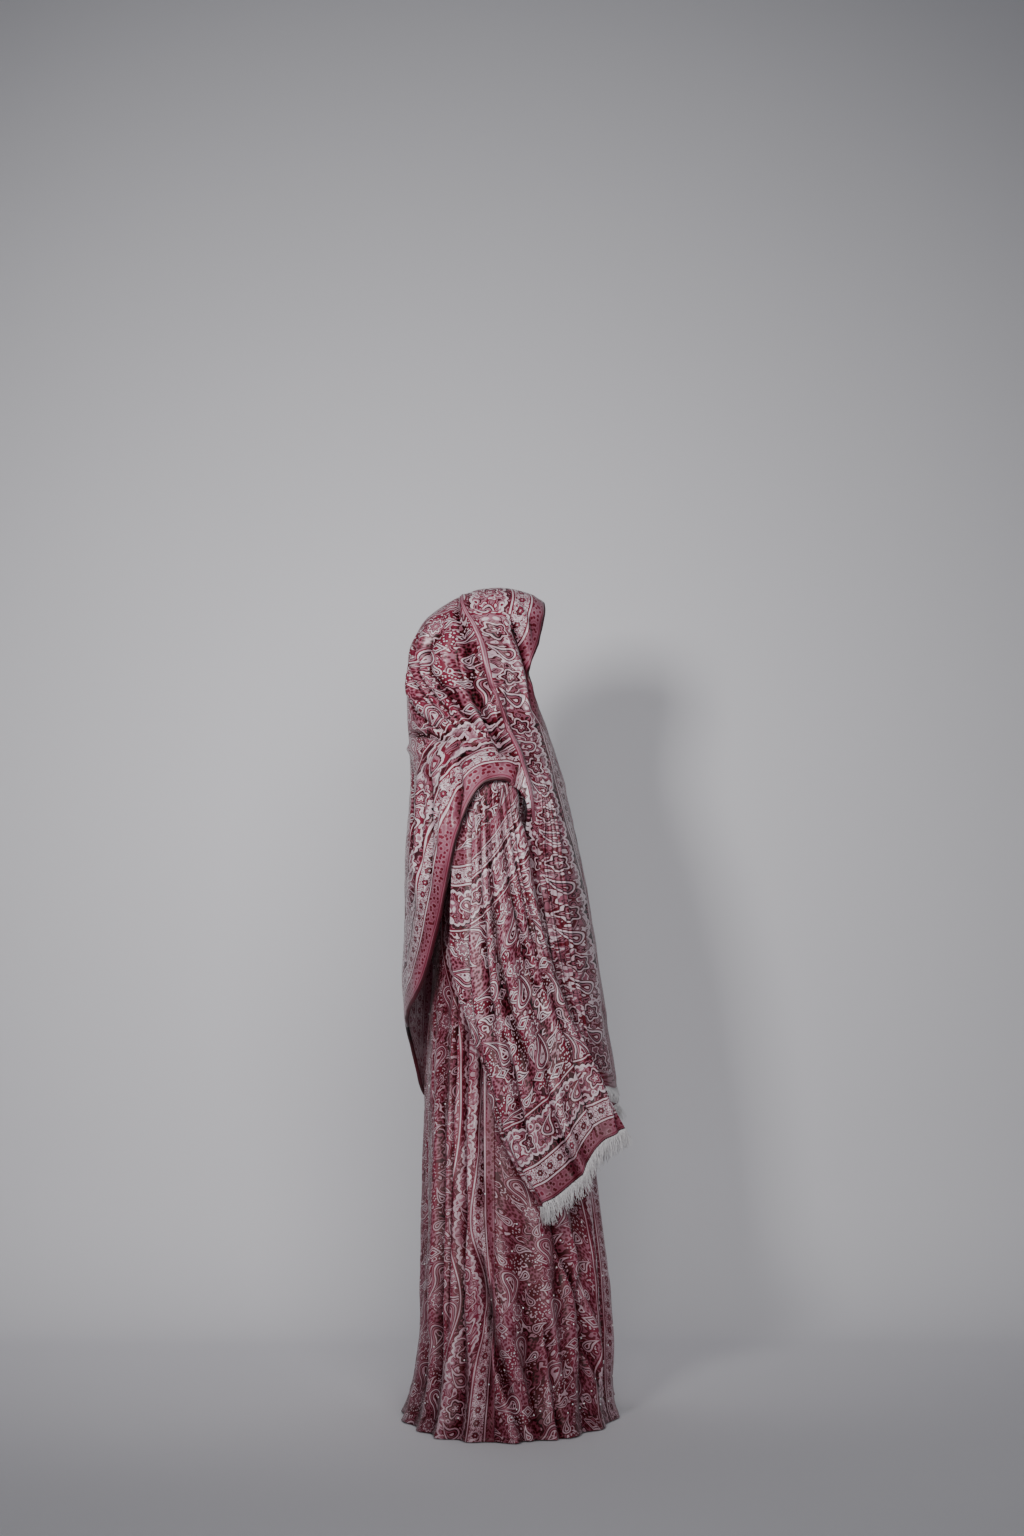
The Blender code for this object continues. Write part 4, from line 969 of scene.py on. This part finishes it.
def build_shawl(cloth, wrong_side, yarn):
    """One cloth in four stretches: the hood, the back, and a fall in front of each shoulder."""
    across = np.linspace(0, 1, ACROSS_COLUMNS)
    fall = np.linspace(SHOULDER_ALONG, SHAWL_END, FALL_ROWS)
    cape = np.linspace(-SHOULDER_ALONG, SHOULDER_ALONG, CAPE_ROWS)
    alongs = np.concatenate([-fall[::-1], cape[1:-1], fall])
    points, plain, field = shawl_grid(alongs, across)
    points = rolled_hem(points, outwards(points, normals_of(points)))
    normals = outwards(points, normals_of(points))
    layers = cloth_places(alongs, plain, field, len(fall) + len(cape) // 2 - 1)
    first, last, half = len(fall) - 1, len(fall) - 1 + len(cape) - 1, len(across) // 2
    stretches = (
        ("shawl_fall_right", slice(0, first + 1), slice(None)),
        ("shawl_hood", slice(first, last + 1), slice(0, half + 1)),
        ("shawl_back", slice(first, last + 1), slice(half, None)),
        ("shawl_fall_left", slice(last, None), slice(None)),
    )
    made = []
    for name, rows, columns in stretches:
        cut = (rows, columns)
        mapped = {label: (across[cut], down[cut]) for label, (across, down) in layers.items()}
        piece = woven(name, points[cut], mapped, (cloth, wrong_side))
        made.append((piece, points[cut]))
    for name, end_row, before in (("right", 0, 2), ("left", -1, -3)):
        up, way = normals[end_row], points[end_row] - points[before]
        edge = points[end_row] - up * SHELL / 2
        made.append((fringe(f"shawl_fringe_{name}", edge, way, up, yarn, SHAWL_FRINGE_LENGTH), None))
    return made


# Meshes


def mesh_piece(name, points, faces, materials):
    """A smooth-shaded mesh object at the origin, with its place in its mesh."""
    mesh = bpy.data.meshes.new(name)
    placed = np.asarray(points, float).reshape(-1, 3) - np.array([0, 0, SHOULDER_HEIGHT])
    mesh.from_pydata(placed.tolist(), [], faces.tolist())
    mesh.shade_smooth()
    made = bpy.data.objects.new(name + "_cloth" if len(materials) > 1 else name, mesh)
    for material in materials:
        mesh.materials.append(material)
    bpy.context.scene.collection.objects.link(made)
    return made


def woven(name, points, layers, materials, closed=False):
    """A shell of cloth over a grid. Its UV maps hold metres of cloth, and metres from and along a border."""
    rows, columns = points.shape[:2]
    wide = columns + 1 if closed else columns
    faces, places = grid_faces(rows, columns, closed), grid_faces(rows, wide)
    flat = points.reshape(-1, 3)
    facing = np.cross(flat[faces[:, 1]] - flat[faces[:, 0]], flat[faces[:, 3]] - flat[faces[:, 0]])
    reach = points - points.mean(axis=1, keepdims=True) if closed else points.copy()
    reach[..., 2] = 0 if closed else UPWARD_LEAN
    outward = 1 if (facing * reach.reshape(-1, 3)[faces[:, 0]]).sum() >= 0 else -1
    piece = mesh_piece(name, points, faces[:, ::outward], materials)
    places = places[:, ::outward].reshape(-1)
    soft = softened(softened(points, SOFT_PASSES, 1, closed), SOFT_PASSES, 0)
    relief = outward * 1000 * ((points - soft) * normals_of(points, closed)).sum(axis=2)
    relief = np.concatenate([relief, relief[:, :1]], axis=1) if closed else relief
    layers = {**layers, "relief": (relief, 0 * relief)}
    for label in UV_LAYERS:
        layer = piece.data.uv_layers.new(name=label)
        pair = layers.get(label, (np.full((rows, wide), -1.0),) * 2)
        values = np.stack([part.reshape(-1)[places] for part in pair], axis=-1)
        layer.data.foreach_set("uv", values.astype(np.float32).ravel())
    shell = piece.modifiers.new("shell", "SOLIDIFY")
    shell.thickness = SHELL
    shell.offset = -1
    shell.use_even_offset = False
    shell.material_offset = 1
    shell.material_offset_rim = 0
    return piece


def fringe(name, edge, way, outward, material, long, closed=False):
    """Loose threads from a cloth's edge. Each is a three-sided tube that leaves it and droops."""
    if closed:
        edge, way, outward = (np.concatenate([a, a[:1]]) for a in (edge, way, outward))
    reach = np.concatenate([[0], np.cumsum(np.linalg.norm(np.diff(edge, axis=0), axis=1))])
    number = np.arange(THREADS)
    chance = np.stack([np.sin(number * step + start) for step, start in CHANCE_WAVES])
    place = (number + 0.5 + 0.45 * chance[0]) / THREADS * reach[-1]

    def on_edge(values):
        """A line of values, read at each thread's place."""
        return np.stack([np.interp(place, reach, values[:, k]) for k in range(3)], axis=-1)

    root, way, outward = on_edge(edge), on_edge(way), on_edge(outward)
    way /= np.linalg.norm(way, axis=1, keepdims=True)
    outward /= np.linalg.norm(outward, axis=1, keepdims=True)
    beside = np.cross(way, outward)
    length = (long * (LENGTH_MIDDLE + LENGTH_SWING * chance[1]))[:, None, None]
    steps = np.linspace(0, 1, THREAD_POINTS)[None, :, None]
    sideways, forwards = LEAN_SWAY
    lean = way + beside * (sideways * chance[2])[:, None] + outward * (forwards * chance[3])[:, None]
    sideways, forwards = DROOP_SWAY
    down = np.array([0, 0, -1.0]) + beside * (sideways * chance[3])[:, None]
    down += outward * (forwards * chance[2])[:, None]
    share = np.clip(steps * 1.2, 0, 1)
    heading = (1 - DROOP * share) * lean[:, None] + DROOP * share * down[:, None]
    heading /= np.linalg.norm(heading, axis=2, keepdims=True)
    path = root[:, None] + np.cumsum(heading * length / (THREAD_POINTS - 1), axis=1)
    path -= heading[:, :1] * ROOT_DEPTH
    radius = THREAD_RADIUS * (1 - THREAD_TAPER * steps)
    first = np.cross(heading, np.array([0.3, 0.2, 0.9]))
    first /= np.linalg.norm(first, axis=2, keepdims=True)
    second = np.cross(heading, first)
    rings = [path + radius * (first * math.cos(t) + second * math.sin(t)) for t in np.radians([0, 120, 240])]
    points = np.stack(rings, axis=2)
    count, spans, sides = points.shape[:3]
    base = (np.arange(count) * spans * sides)[:, None, None]
    faces = base + grid_faces(spans, sides, closed=True)
    return mesh_piece(name + "_threads", points, faces.reshape(-1, 4), (material,))


def stones(name, points, normals, material):
    """Small cut stones glued to the lower robe: each an eight-sided frustum with a flat table."""
    rows, columns = points.shape[:2]
    number = np.arange(STONES_A_PANEL)
    down = 1 - STONES_REACH * ((number * 0.6180) % 1) ** 1.6
    row = np.clip((down * (rows - 6)).astype(int), 0, rows - 2)
    col = 3 + ((number * 0.7549 + 0.13) % 1 * (columns - 7)).astype(int)
    spot, up = points[row, col], normals[row, col]
    first = np.cross(up, np.array([0.1, 0.2, 0.97]))
    first /= np.linalg.norm(first, axis=1, keepdims=True)
    second = np.cross(up, first)
    turn = np.radians(np.arange(0, 360, 45))[None, :, None]
    rings = []
    around = first[:, None] * np.cos(turn) + second[:, None] * np.sin(turn)
    for radius, rise in STONE_RINGS:
        rings.append(spot[:, None] + around * (STONE_RADIUS * radius) + up[:, None] * rise)
    made = np.concatenate(rings, axis=1)
    one = np.concatenate([grid_faces(len(STONE_RINGS), 8, closed=True), STONE_TABLE])
    faces = (np.arange(len(number)) * made.shape[1])[:, None, None] + one
    piece = mesh_piece(name, made, faces.reshape(-1, 4), (material,))
    piece.data.shade_flat()
    return piece


# Materials


def linear(code):
    """An sRGB hex value as linear red, green, blue and alpha."""
    parts = np.array([int(code[k : k + 2], 16) for k in (0, 2, 4)]) / 255
    return (*np.where(parts <= 0.04045, parts / 12.92, ((parts + 0.055) / 1.055) ** 2.4), 1.0)


def add(tree, kind, *sources, **settings):
    """Adds a node. Its inputs take the sources in turn: a node, a socket, a value, or None for no change."""
    node = tree.nodes.new("ShaderNode" + kind)
    for name, value in settings.items():
        setattr(node, name, value)
    for socket, source in zip(node.inputs, sources):
        if isinstance(source, bpy.types.Node):
            source = source.outputs[0]
        if isinstance(source, bpy.types.NodeSocket):
            tree.links.new(source, socket)
        elif source is not None:
            socket.default_value = source
    return node


def by_distance(tree, distance, stops):
    """The yarn at a distance in mm: each stop is where a yarn starts, and the last only closes the row."""
    low, high = stops[0][0], stops[-1][0]
    share = add(tree, "MapRange", distance, low, high, 0.0, 1.0)
    ramp = add(tree, "ValToRGB", share)
    ramp.color_ramp.interpolation = "CONSTANT"
    places = ramp.color_ramp.elements
    while len(places) > 1:
        places.remove(places[-1])
    for k, (start, yarn) in enumerate(stops):
        place = places[0] if k == 0 else places.new((start - low) / (high - low))
        place.position = (start - low) / (high - low)
        place.color = (yarn, yarn, yarn, 1)
    return ramp


def repeat(tree, place, width, height):
    """Where a place in mm lies in its half-drop repeat, from its middle, and the repeat's own number."""
    step = add(tree, "VectorMath", place, (1 / width, 1 / height, 0), operation="MULTIPLY")
    across = add(tree, "SeparateXYZ", step).outputs[0]
    columns = add(tree, "Math", across, operation="FLOOR")
    odd = add(tree, "Math", columns, 2.0, operation="FLOORED_MODULO")
    drop = add(tree, "Math", odd, 0.5, operation="MULTIPLY")
    step = add(tree, "VectorMath", step, add(tree, "CombineXYZ", 0.0, drop, 0.0), operation="ADD")
    number = add(tree, "VectorMath", step, operation="FLOOR")
    within = add(tree, "VectorMath", step, number, operation="SUBTRACT")
    middle = (-width / 2, -height / 2, 0)
    return add(tree, "VectorMath", within, (width, height, 0), middle, operation="MULTIPLY_ADD"), number


def teardrop(tree, spot, radius, length, lean, turn, centre=(0, 0, 0)):
    """Distance in mm from a paisley's outline: a disc with a tapering tip, on an axis bent as a parabola."""
    moved = add(tree, "VectorMath", spot, centre, operation="SUBTRACT")
    turned = add(tree, "VectorRotate", moved, None, None, turn, rotation_type="Z_AXIS")
    x, y, _ = add(tree, "SeparateXYZ", turned).outputs
    square = add(tree, "Math", y, y, operation="MULTIPLY")
    bent = add(tree, "Math", square, -lean, x, operation="MULTIPLY_ADD")
    side = add(tree, "Math", bent, operation="ABSOLUTE")
    slope = radius / length
    level = math.sqrt(1 - slope**2)
    part = add(tree, "Math", side, level, -radius, operation="MULTIPLY_ADD")
    cone = add(tree, "Math", y, slope, part, operation="MULTIPLY_ADD")
    reach = add(tree, "VectorMath", add(tree, "CombineXYZ", bent, y, 0.0), operation="LENGTH")
    disc = add(tree, "Math", reach.outputs[1], radius, operation="SUBTRACT")
    part = add(tree, "Math", side, -slope, operation="MULTIPLY")
    above = add(tree, "Math", y, level, part, operation="MULTIPLY_ADD")
    gate = add(tree, "Math", above, 0.0, operation="GREATER_THAN")
    return add(tree, "Mix", gate, None, disc, cone, data_type="FLOAT")


def rosette(tree, spot, radius, petals, swing, centre=(0, 0, 0)):
    """Distance in mm from a flower's outline: a circle whose radius swings once for each petal."""
    moved = add(tree, "VectorMath", spot, centre, operation="SUBTRACT")
    x, y, _ = add(tree, "SeparateXYZ", moved).outputs
    turn = add(tree, "Math", y, x, operation="ARCTAN2")
    wave = add(tree, "Math", add(tree, "Math", turn, float(petals), operation="MULTIPLY"), operation="COSINE")
    edge = add(tree, "Math", wave, radius * swing, radius, operation="MULTIPLY_ADD")
    reach = add(tree, "VectorMath", moved, operation="LENGTH")
    return add(tree, "Math", reach.outputs[1], edge, operation="SUBTRACT")


def laid_over(tree, below, above, distance, edge):
    """The upper motif's yarn where its distance is under an edge in mm, and the lower one's elsewhere."""
    gate = add(tree, "Math", distance, edge, operation="LESS_THAN")
    return add(tree, "Mix", gate, None, below, above, data_type="FLOAT")


def scrolls(tree, place, size, lines, stops):
    """Fine curling lines: the contours of a soft noise with lobes of a size in mm, in turn in each yarn."""
    noise = add(tree, "TexNoise", place, None, 1 / size, 1.0, 0.4, None, None, 0.9)
    steps = add(tree, "Math", add(tree, "Math", noise, lines, operation="MULTIPLY"), operation="FRACT")
    return by_distance(tree, steps, stops)


def motif(tree, below, distance, rings, edge):
    """A motif over the weave below it: rings of yarn by the distance in mm from its outline, to an edge."""
    return laid_over(tree, below, by_distance(tree, distance, rings), distance, edge)


def in_repeat(tree, along, length):
    """Where a place in mm lies within its repeat along a border, from the repeat's middle."""
    turns = add(tree, "Math", along, length, operation="DIVIDE")
    part = add(tree, "Math", turns, operation="FRACT")
    return add(tree, "Math", part, length, -length / 2, operation="MULTIPLY_ADD")


def dots(tree, place, size, stops):
    """Dots of yarn by the distance from the nearest of many uneven points, which lie a size in mm apart."""
    cells = add(tree, "TexVoronoi", place, None, 1 / size, voronoi_dimensions="2D")
    return by_distance(tree, cells, stops)


def field_pattern(tree, cloth):
    """The field: a scrolling ground, small paisleys, and large paisleys and flowers over them."""
    # Scrolls of 19 mm lobes, with patches of pale dots on crimson and of crimson dots on pink
    scroll = scrolls(tree, cloth, 19, 3.4, FIELD_SCROLLS)
    patches = add(tree, "TexNoise", cloth, None, 1 / PATCH_SIZE, 0.0, noise_dimensions="2D")
    gate = add(tree, "Math", patches, 0.61, operation="GREATER_THAN")
    pale = dots(tree, cloth, DOT_SPACING, PALE_DOTS)
    field = add(tree, "Mix", gate, None, scroll, pale, data_type="FLOAT")
    gate = add(tree, "Math", patches, 0.40, operation="LESS_THAN")
    dark = dots(tree, cloth, DOT_SPACING, DARK_DOTS)
    field = add(tree, "Mix", gate, None, field, dark, data_type="FLOAT")

    # Small paisleys in a 48 by 54 mm half-drop repeat, each turned by its own chance, and some diamonds
    spot, number = repeat(tree, cloth, *SMALL_REPEAT)
    chance = add(tree, "TexWhiteNoise", number).outputs[0]
    turn = add(tree, "Math", chance, 6.28, operation="MULTIPLY")
    drop = teardrop(tree, spot, 7.5, 21, 0.024, turn)
    x, y, _ = add(tree, "SeparateXYZ", add(tree, "VectorMath", spot, operation="ABSOLUTE")).outputs
    part = add(tree, "Math", x, 0.55, -9.0, operation="MULTIPLY_ADD")
    diamond = add(tree, "Math", y, 0.9, part, operation="MULTIPLY_ADD")
    gate = add(tree, "Math", chance, 0.78, operation="GREATER_THAN")
    drop = add(tree, "Mix", gate, None, drop, diamond, data_type="FLOAT")
    field = motif(tree, field, drop, SMALL_PAISLEY, 3.6)

    # Large paisleys in a 98 by 126 mm half-drop repeat, with a many-petalled flower between them
    spot, number = repeat(tree, cloth, *LARGE_REPEAT)
    chance = add(tree, "TexWhiteNoise", number).outputs[0]
    turn = add(tree, "MapRange", chance, 0.0, 1.0, -1.0, 1.0)
    drop = teardrop(tree, spot, 15, 41, 0.016, turn, (0, -16, 0))
    gate = add(tree, "Math", drop, -8.5, operation="LESS_THAN")
    inner = scrolls(tree, cloth, 13, 3.0, PAISLEY_SCROLLS)
    rings = add(tree, "Mix", gate, None, by_distance(tree, drop, LARGE_PAISLEY), inner, data_type="FLOAT")
    field = laid_over(tree, field, rings, drop, 8.4)
    return motif(tree, field, rosette(tree, spot, 13, 8, 0.16, (0, 42, 0)), LARGE_FLOWER, 6.2)


def meander_pattern(tree, edge, from_edge, along):
    """The border's main band: a scalloped meander with a paisley and a flower in turn."""
    within = in_repeat(tree, along, BORDER_REPEAT)
    middle = add(tree, "Math", from_edge, MEANDER_MIDDLE, operation="SUBTRACT")
    spot = add(tree, "CombineXYZ", middle, within, 0.0)
    bulge = add(tree, "Math", within, math.tau / BORDER_REPEAT, operation="MULTIPLY")
    bulge = add(tree, "Math", add(tree, "Math", bulge, operation="COSINE"), operation="ABSOLUTE")
    small = add(tree, "Math", within, math.pi / SCALLOP, operation="MULTIPLY")
    small = add(tree, "Math", add(tree, "Math", small, operation="SINE"), operation="ABSOLUTE")
    small = add(tree, "Math", small, 4.0, operation="MULTIPLY")
    scallop = add(tree, "Math", bulge, 9.0, small, operation="MULTIPLY_ADD")
    width = add(tree, "Math", add(tree, "Math", middle, operation="ABSOLUTE"), scallop, operation="SUBTRACT")
    meander = motif(tree, scrolls(tree, edge, 12, 3.0, DARK_SCROLLS), width, MEANDER_LINE, 27.0)
    meander = laid_over(tree, meander, scrolls(tree, edge, 17, 3.4, BORDER_SCROLLS), width, 19.0)
    drop = teardrop(tree, spot, 11, 23, 0.030, 1.7, (-3, -27, 0))
    meander = motif(tree, meander, drop, BORDER_PAISLEY, 5.8)
    return motif(tree, meander, rosette(tree, spot, 13, 5, 0.22, (0, 27, 0)), BORDER_FLOWER, 6.6)


def jacquard_pattern():
    """The figured weave as one value, from the darkest yarn at 0 to the lightest at 1."""
    tree = bpy.data.node_groups.new("paisley_jacquard", "ShaderNodeTree")
    for name in ("Cloth", "Border"):
        tree.interface.new_socket(name, in_out="INPUT", socket_type="NodeSocketVector")
    tree.interface.new_socket("Yarn", in_out="OUTPUT", socket_type="NodeSocketFloat")
    given = tree.nodes.new("NodeGroupInput").outputs
    result = tree.nodes.new("NodeGroupOutput")
    cloth = add(tree, "VectorMath", given[0], (1000, 1000, 0), operation="MULTIPLY")
    edge = add(tree, "VectorMath", given[1], (1000, 1000, 0), operation="MULTIPLY")
    from_edge = add(tree, "SeparateXYZ", edge).outputs[0]
    step = add(tree, "VectorMath", edge, (0, BORDER_REPEAT, 0), (0, 1, 0), operation="ADD")
    along = add(tree, "SeparateXYZ", step).outputs[1]

    # Bands by the edge: a speckled hem, small flowers among leaves, the meander, and lines between them
    middle = add(tree, "Math", from_edge, SPRIG_MIDDLE, operation="SUBTRACT")
    spot = add(tree, "CombineXYZ", middle, in_repeat(tree, along, SPRIG_REPEAT), 0.0)
    flower = rosette(tree, spot, 6, 6, 0.14)
    sprigs = motif(tree, scrolls(tree, edge, 8.5, 2.8, LEAVES), flower, SMALL_FLOWER, 1.8)
    yarn = field_pattern(tree, cloth)
    yarn = laid_over(tree, yarn, meander_pattern(tree, edge, from_edge, along), from_edge, BORDER_BAND)
    yarn = laid_over(tree, yarn, sprigs, from_edge, SPRIG_BAND)
    yarn = laid_over(tree, yarn, dots(tree, edge, MARK_SPACING, HEM_MARKS), from_edge, HEM_BAND)
    lines = by_distance(tree, from_edge, BORDER_LINES)
    shown = by_distance(tree, from_edge, BORDER_LINES_SHOWN)
    yarn = add(tree, "Mix", shown, None, yarn, lines, data_type="FLOAT")
    tree.links.new(yarn.outputs[0], result.inputs[0])
    return tree


def blank(name):
    """A new material, with its node tree and its shader."""
    made = bpy.data.materials.new(name)
    made.use_nodes = True
    return made, made.node_tree, made.node_tree.nodes["Principled BSDF"]


def jacquard(name, pattern, light, contrast, roughness):
    """Silk jacquard, woven on a dark warp with bright floats: crisp figures with a soft sheen."""
    made, tree, shader = blank(name)
    cloth = add(tree, "UVMap", uv_map="cloth")
    border, face, hem, zone, relief = (add(tree, "UVMap", uv_map=label) for label in UV_LAYERS[1:])
    behind, ahead, _ = add(tree, "SeparateXYZ", zone).outputs
    gate = add(tree, "Math", ahead, 0.0, operation="GREATER_THAN")
    border = add(tree, "Mix", gate, None, None, None, border, face, data_type="VECTOR").outputs[1]
    gate = add(tree, "Math", behind, 0.0, operation="GREATER_THAN")
    border = add(tree, "Mix", gate, None, None, None, border, hem, data_type="VECTOR").outputs[1]
    figured = add(tree, "Group", node_tree=pattern)
    tree.links.new(cloth.outputs[0], figured.inputs[0])
    tree.links.new(border, figured.inputs[1])
    # A stripe along the shawl's ridge, down to the place where the ridge ends
    apart = add(tree, "Math", add(tree, "Math", behind, operation="ABSOLUTE"), 1000.0, operation="MULTIPLY")
    above = add(tree, "Math", add(tree, "SeparateXYZ", cloth).outputs[1], RIDGE_END, operation="LESS_THAN")
    width = add(tree, "Math", above, RIDGE_STRIPE[-1][0], operation="MULTIPLY")
    figured = motif(tree, figured, apart, RIDGE_STRIPE, width)
    worn = add(tree, "TexNoise", cloth, None, 14.0, 3.0)
    tone = add(tree, "MapRange", worn, 0.3, 0.7, light - 0.07, light + 0.07)
    yarn = add(tree, "Math", figured, contrast, tone, operation="MULTIPLY_ADD")
    ramp = add(tree, "ValToRGB", yarn)
    places = ramp.color_ramp.elements
    places.remove(places[-1])
    for k, (start, code) in enumerate(YARNS):
        place = places[0] if k == 0 else places.new(start)
        place.position = start
        place.color = linear(code)
    # Little light gets down into the grooves, which are deeper in the real cloth than in the mesh
    stands = add(tree, "SeparateXYZ", relief)
    gamma = add(tree, "MapRange", stands, -6.0, 3.0, 1.3 + 0.8 * contrast, 0.88)
    deepened = add(tree, "Gamma", ramp, gamma)
    tree.links.new(deepened.outputs[0], shader.inputs["Base Color"])
    gloss = add(tree, "MapRange", stands, -5.0, 1.0, 0.04, 0.36)
    tree.links.new(gloss.outputs[0], shader.inputs["Specular IOR Level"])
    smooth = add(tree, "MapRange", figured, 0.0, 1.0, roughness + 0.16, roughness)
    tree.links.new(smooth.outputs[0], shader.inputs["Roughness"])
    # Twill ribs of 1.6 mm, drawn coarser than the real half millimetre so that they show
    waves = 1 / RIB_WIDTH / 6.28
    ribs = add(tree, "TexWave", cloth, waves, 0.4, 1.0, wave_type="BANDS", bands_direction="DIAGONAL")
    height = add(tree, "Math", ribs, 0.25, figured, operation="MULTIPLY_ADD")
    weave = add(tree, "Bump", 0.35, 0.0004, None, height)
    tree.links.new(weave.outputs[0], shader.inputs["Normal"])
    shader.inputs["Sheen Weight"].default_value = 0.06
    shader.inputs["Sheen Roughness"].default_value = 0.4
    return made


def two_toned(name, low, high, scale, detail, roughness, specular=0.5):
    """A plain material that a noise in Object coordinates blends between two tones."""
    made, tree, shader = blank(name)
    place = add(tree, "TexCoord").outputs[3]
    ramp = add(tree, "ValToRGB", add(tree, "TexNoise", place, None, scale, detail))
    for end, code in zip(ramp.color_ramp.elements, (low, high)):
        end.color = linear(code)
    tree.links.new(ramp.outputs[0], shader.inputs["Base Color"])
    shader.inputs["Roughness"].default_value = roughness
    shader.inputs["Specular IOR Level"].default_value = specular
    return made


# Stage, camera and light


def build_stage():
    """A pale floor that curves up into the wall behind the garment, as one swept sheet."""
    wall_x, radius = 1.20, 0.36
    turn = np.radians(np.linspace(0, 90, 13))
    bend = [(wall_x - radius + radius * math.sin(t), radius - radius * math.cos(t)) for t in turn]
    profile = np.array([(-11.0, 0.0), (-2.0, 0.0), *bend, (wall_x, 2.0), (wall_x, 5.0)])
    sides = np.linspace(-6, 6, 7)
    points = np.stack(np.broadcast_arrays(profile[:, :1], sides[None, :], profile[:, 1:]), axis=-1)
    faces = grid_faces(*points.shape[:2])[:, ::-1]
    # Matt wall paint, rolled on: an even pale grey with a faint mottle
    paint = two_toned("matt_wall_paint", "E7E5E9", "EBE9ED", 1.2, 3.0, 0.8)
    backdrop = mesh_piece("backdrop", points, faces, (paint,))


def build_camera():
    """The view of the photograph: level, at shoulder height, 7.5 m off the garment's own right side."""
    distance, frame_height, image_height = 7.5, 3.195, 1536
    data = bpy.data.cameras.new("camera")
    data.sensor_width = 36.0
    data.lens = 18.0 * distance / (frame_height / 2)
    data.shift_y = -18 / image_height
    camera = bpy.data.objects.new("camera", data)
    camera.location = (-distance, -0.035, -0.003)
    camera.rotation_euler = (math.radians(90), 0, math.radians(-90))
    bpy.context.scene.collection.objects.link(camera)
    bpy.context.scene.camera = camera


# Each lamp's place, what it points at, its size, the spread of its grid in degrees, and its watts
LAMPS = (
    ("key", (-3.3, 0.90, 0.66), (1.2, 0.26, -0.05), 0.45, 56, 9.1),
    ("fill", (-5.0, -0.60, 1.0), (1.2, 0.20, -0.62), 2.0, 64, 15.6),
)
ROOM_COLOUR, ROOM_STRENGTH = (0.80, 0.84, 0.90, 1), 0.155


def build_light():
    """A soft box up on the camera's left, a broad one on its right, both with grids, and a dim grey room."""
    for name, place, target, size, spread, power in LAMPS:
        data = bpy.data.lights.new(name, "AREA")
        data.size = size
        data.spread = math.radians(spread)
        data.energy = power
        lamp = bpy.data.objects.new(name, data)
        lamp.location = place
        way = np.array(target, float) - np.array(place, float)
        level = math.hypot(way[0], way[1])
        lamp.rotation_euler = (math.atan2(level, -way[2]), 0, math.atan2(-way[0], way[1]))
        bpy.context.scene.collection.objects.link(lamp)
    world = bpy.data.worlds.new("room")
    world.use_nodes = True
    light = world.node_tree.nodes["Background"].inputs
    light["Color"].default_value = ROOM_COLOUR
    light["Strength"].default_value = ROOM_STRENGTH
    bpy.context.scene.world = world


# The garment


def dress():
    """Builds every piece over its solid, which it then stands for."""
    pattern = jacquard_pattern()
    cloth = jacquard("silk_jacquard", pattern, 0.0, 1.0, 0.28)
    # The robe's silk: lighter and flatter than the rest, as painted light that lifts the lower robe where the
    # lamps light it less, with weaker painted shade in its grooves
    robe_silk_painted_light = jacquard("silk_jacquard_robe_painted_light", pattern, 0.09, 0.82, 0.32)
    # The wrong side: paler, as a jacquard's reverse is, and paler still as painted light that lifts the cloth
    # hanging in shade behind the robe
    wrong_side = jacquard("silk_jacquard_wrong_side", pattern, 0.56, 0.38, 0.52)
    # Undyed cotton thread, twisted and left loose: matt, a little uneven in tone
    yarn = two_toned("fringe_cotton", "CFCACC", "F1EEEF", 260.0, 2.0, 0.85)
    # Foiled glass stones: bright points that catch the light
    glass = two_toned("cut_glass", "DCEBF4", "FFF6F0", 60.0, 0.0, 0.12, 0.9)
    made = build_robe(robe_silk_painted_light, wrong_side)
    made += build_sleeves(cloth, wrong_side, yarn) + build_shawl(cloth, wrong_side, yarn)
    for piece, points in made:
        node = piece.name.removesuffix("_cloth").removesuffix("_threads")
        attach(piece, "root")
        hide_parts(node)
        if node.startswith("robe"):
            normals = outwards(points, normals_of(points))
            gems = stones(node + "_stones", points, normals, glass)
            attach(gems, "root")


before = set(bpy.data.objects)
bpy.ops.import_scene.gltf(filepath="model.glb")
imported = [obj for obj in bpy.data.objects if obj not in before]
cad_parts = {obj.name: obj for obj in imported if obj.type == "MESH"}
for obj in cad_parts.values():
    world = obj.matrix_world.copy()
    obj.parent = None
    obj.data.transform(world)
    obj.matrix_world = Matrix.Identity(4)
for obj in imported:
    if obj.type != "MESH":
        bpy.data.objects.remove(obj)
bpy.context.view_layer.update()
build_camera()
build_light()
build_stage()
dress()
